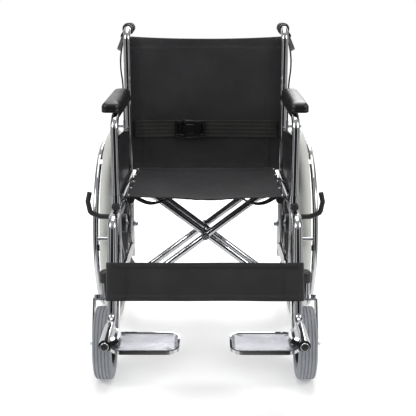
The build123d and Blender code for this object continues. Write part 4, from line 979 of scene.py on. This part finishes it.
# ---------------------------------------------------------------- bright trim and plugs
# A chromed rod edges each side panel, black plugs close the open tube ends, and small
# screws hold the tabs of the hand rims.
TRIM_R = 0.0046
TRIM_ROUND = 0.001
TRIM_X = 0.244
TRIM_FRONT_Z = 0.650
TRIM_REAR_Z = 0.616
PLUG_R = 0.0098
PLUG_TALL = 0.0035
PLUG_SEAT = 0.0005
UPPER_RAIL_Z = 0.472
LOWER_RAIL_Z = 0.232
POST_FOOT_Z = 0.1955
POST_PLUG_TALL = 0.003
SLEEVE_FRONT = {"right": 0.2923, "left": 0.2693}
PIVOT_PLUG_R = 0.0105
PIVOT_PLUG_TALL = 0.0065
LEG_FOOT_Z = 0.197
LEG_PLUG_SEAT = 0.0006
LEG_PLUG_TALL = 0.0030
TABS = 6
TAB_X = 0.309
TAB_SCREW_RING = 0.2579
TAB_SCREW_R, TAB_SCREW_TALL = 0.0048, 0.0026
PIVOT_X = joints["fold_left"]["pos_m"][0]
PIVOT_Z = joints["fold_left"]["pos_m"][2]


def plug(mesh, at, axis, radius, long):
    """A domed plug in a tube's end, facing along an axis."""
    turn = Matrix.Translation(at) @ Vector(axis).to_track_quat("Z", "Y").to_matrix().to_4x4()
    dome = bmesh.ops.create_uvsphere(mesh, u_segments=28, v_segments=14, radius=1.0)["verts"]
    bmesh.ops.transform(mesh, verts=dome, matrix=turn @ Matrix.Diagonal((radius, radius, long, 1)))


for side, s in SIDES:
    panel_low, panel_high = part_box(f"{side}_side_panel")
    front_top = Vector((s * TRIM_X, panel_low.y + 0.0015, TRIM_FRONT_Z))
    rear_top = Vector((s * TRIM_X, panel_high.y - 0.001, TRIM_REAR_Z))
    trim = bmesh.new()
    run = rear_top - front_top
    lay = run.to_track_quat("Z", "Y").to_matrix().to_4x4()
    lay = Matrix.Translation((front_top + rear_top) / 2) @ lay
    bmesh.ops.create_cone(trim, cap_ends=True, segments=24, radius1=TRIM_R, radius2=TRIM_R,
                          depth=run.length, matrix=lay)
    ends = [edge for edge in trim.edges
            if len({round((vert.co - front_top).length, 3) for vert in edge.verts}) == 1]
    round_edges(trim, ends, TRIM_ROUND, 2)
    piece = new_piece(f"{side}_panel_trim", trim)
    piece.data.materials.append(chrome)
    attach(piece, f"{side}_frame")

    plugs = bmesh.new()
    rail_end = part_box(f"{side}_upper_rail")[0].y + PLUG_SEAT
    plug(plugs, (s * POST_X, rail_end, UPPER_RAIL_Z), (0, -1, 0), PLUG_R, PLUG_TALL)
    frame_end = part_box(f"{side}_lower_frame")[0].y + PLUG_SEAT
    plug(plugs, (s * POST_X, frame_end, LOWER_RAIL_Z), (0, -1, 0), PLUG_R, PLUG_TALL)
    plug(plugs, (s * POST_X, axle.y, POST_FOOT_Z), (0, 0, -1), PLUG_R, POST_PLUG_TALL)
    sleeve_front = axle.y - SLEEVE_FRONT[side]
    plug(plugs, (s * PIVOT_X, sleeve_front, PIVOT_Z), (0, -1, 0), PIVOT_PLUG_R, PIVOT_PLUG_TALL)
    piece = new_piece(f"{side}_tube_plugs", plugs)
    piece.data.materials.append(satin_black)
    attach(piece, f"{side}_frame")

    leg_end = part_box(f"{side}_footrest_leg")[0].y + LEG_PLUG_SEAT
    leg_plug = bmesh.new()
    plug(leg_plug, (s * HANGER_X, leg_end, LEG_FOOT_Z), (0, -1, 0), PLUG_R, LEG_PLUG_TALL)
    piece = new_piece(f"{side}_leg_plug", leg_plug)
    piece.data.materials.append(satin_black)
    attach(piece, f"{side}_leg")

    rim_low, rim_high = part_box(f"{side}_hand_rim")
    rim_mid = (rim_low + rim_high) / 2
    tab_screws = bmesh.new()
    for k in range(TABS):
        turn = math.tau * k / TABS
        out_way = Vector((0, math.cos(turn), math.sin(turn)))
        at = Vector((s * TAB_X, rim_mid.y, rim_mid.z)) + out_way * TAB_SCREW_RING
        screw_head(tab_screws, at, tuple(-out_way), TAB_SCREW_R, TAB_SCREW_TALL)
    piece = new_piece(f"{side}_rim_tab_screws", tab_screws)
    piece.data.materials.append(satin_black)
    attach(piece, f"{side}_wheel")
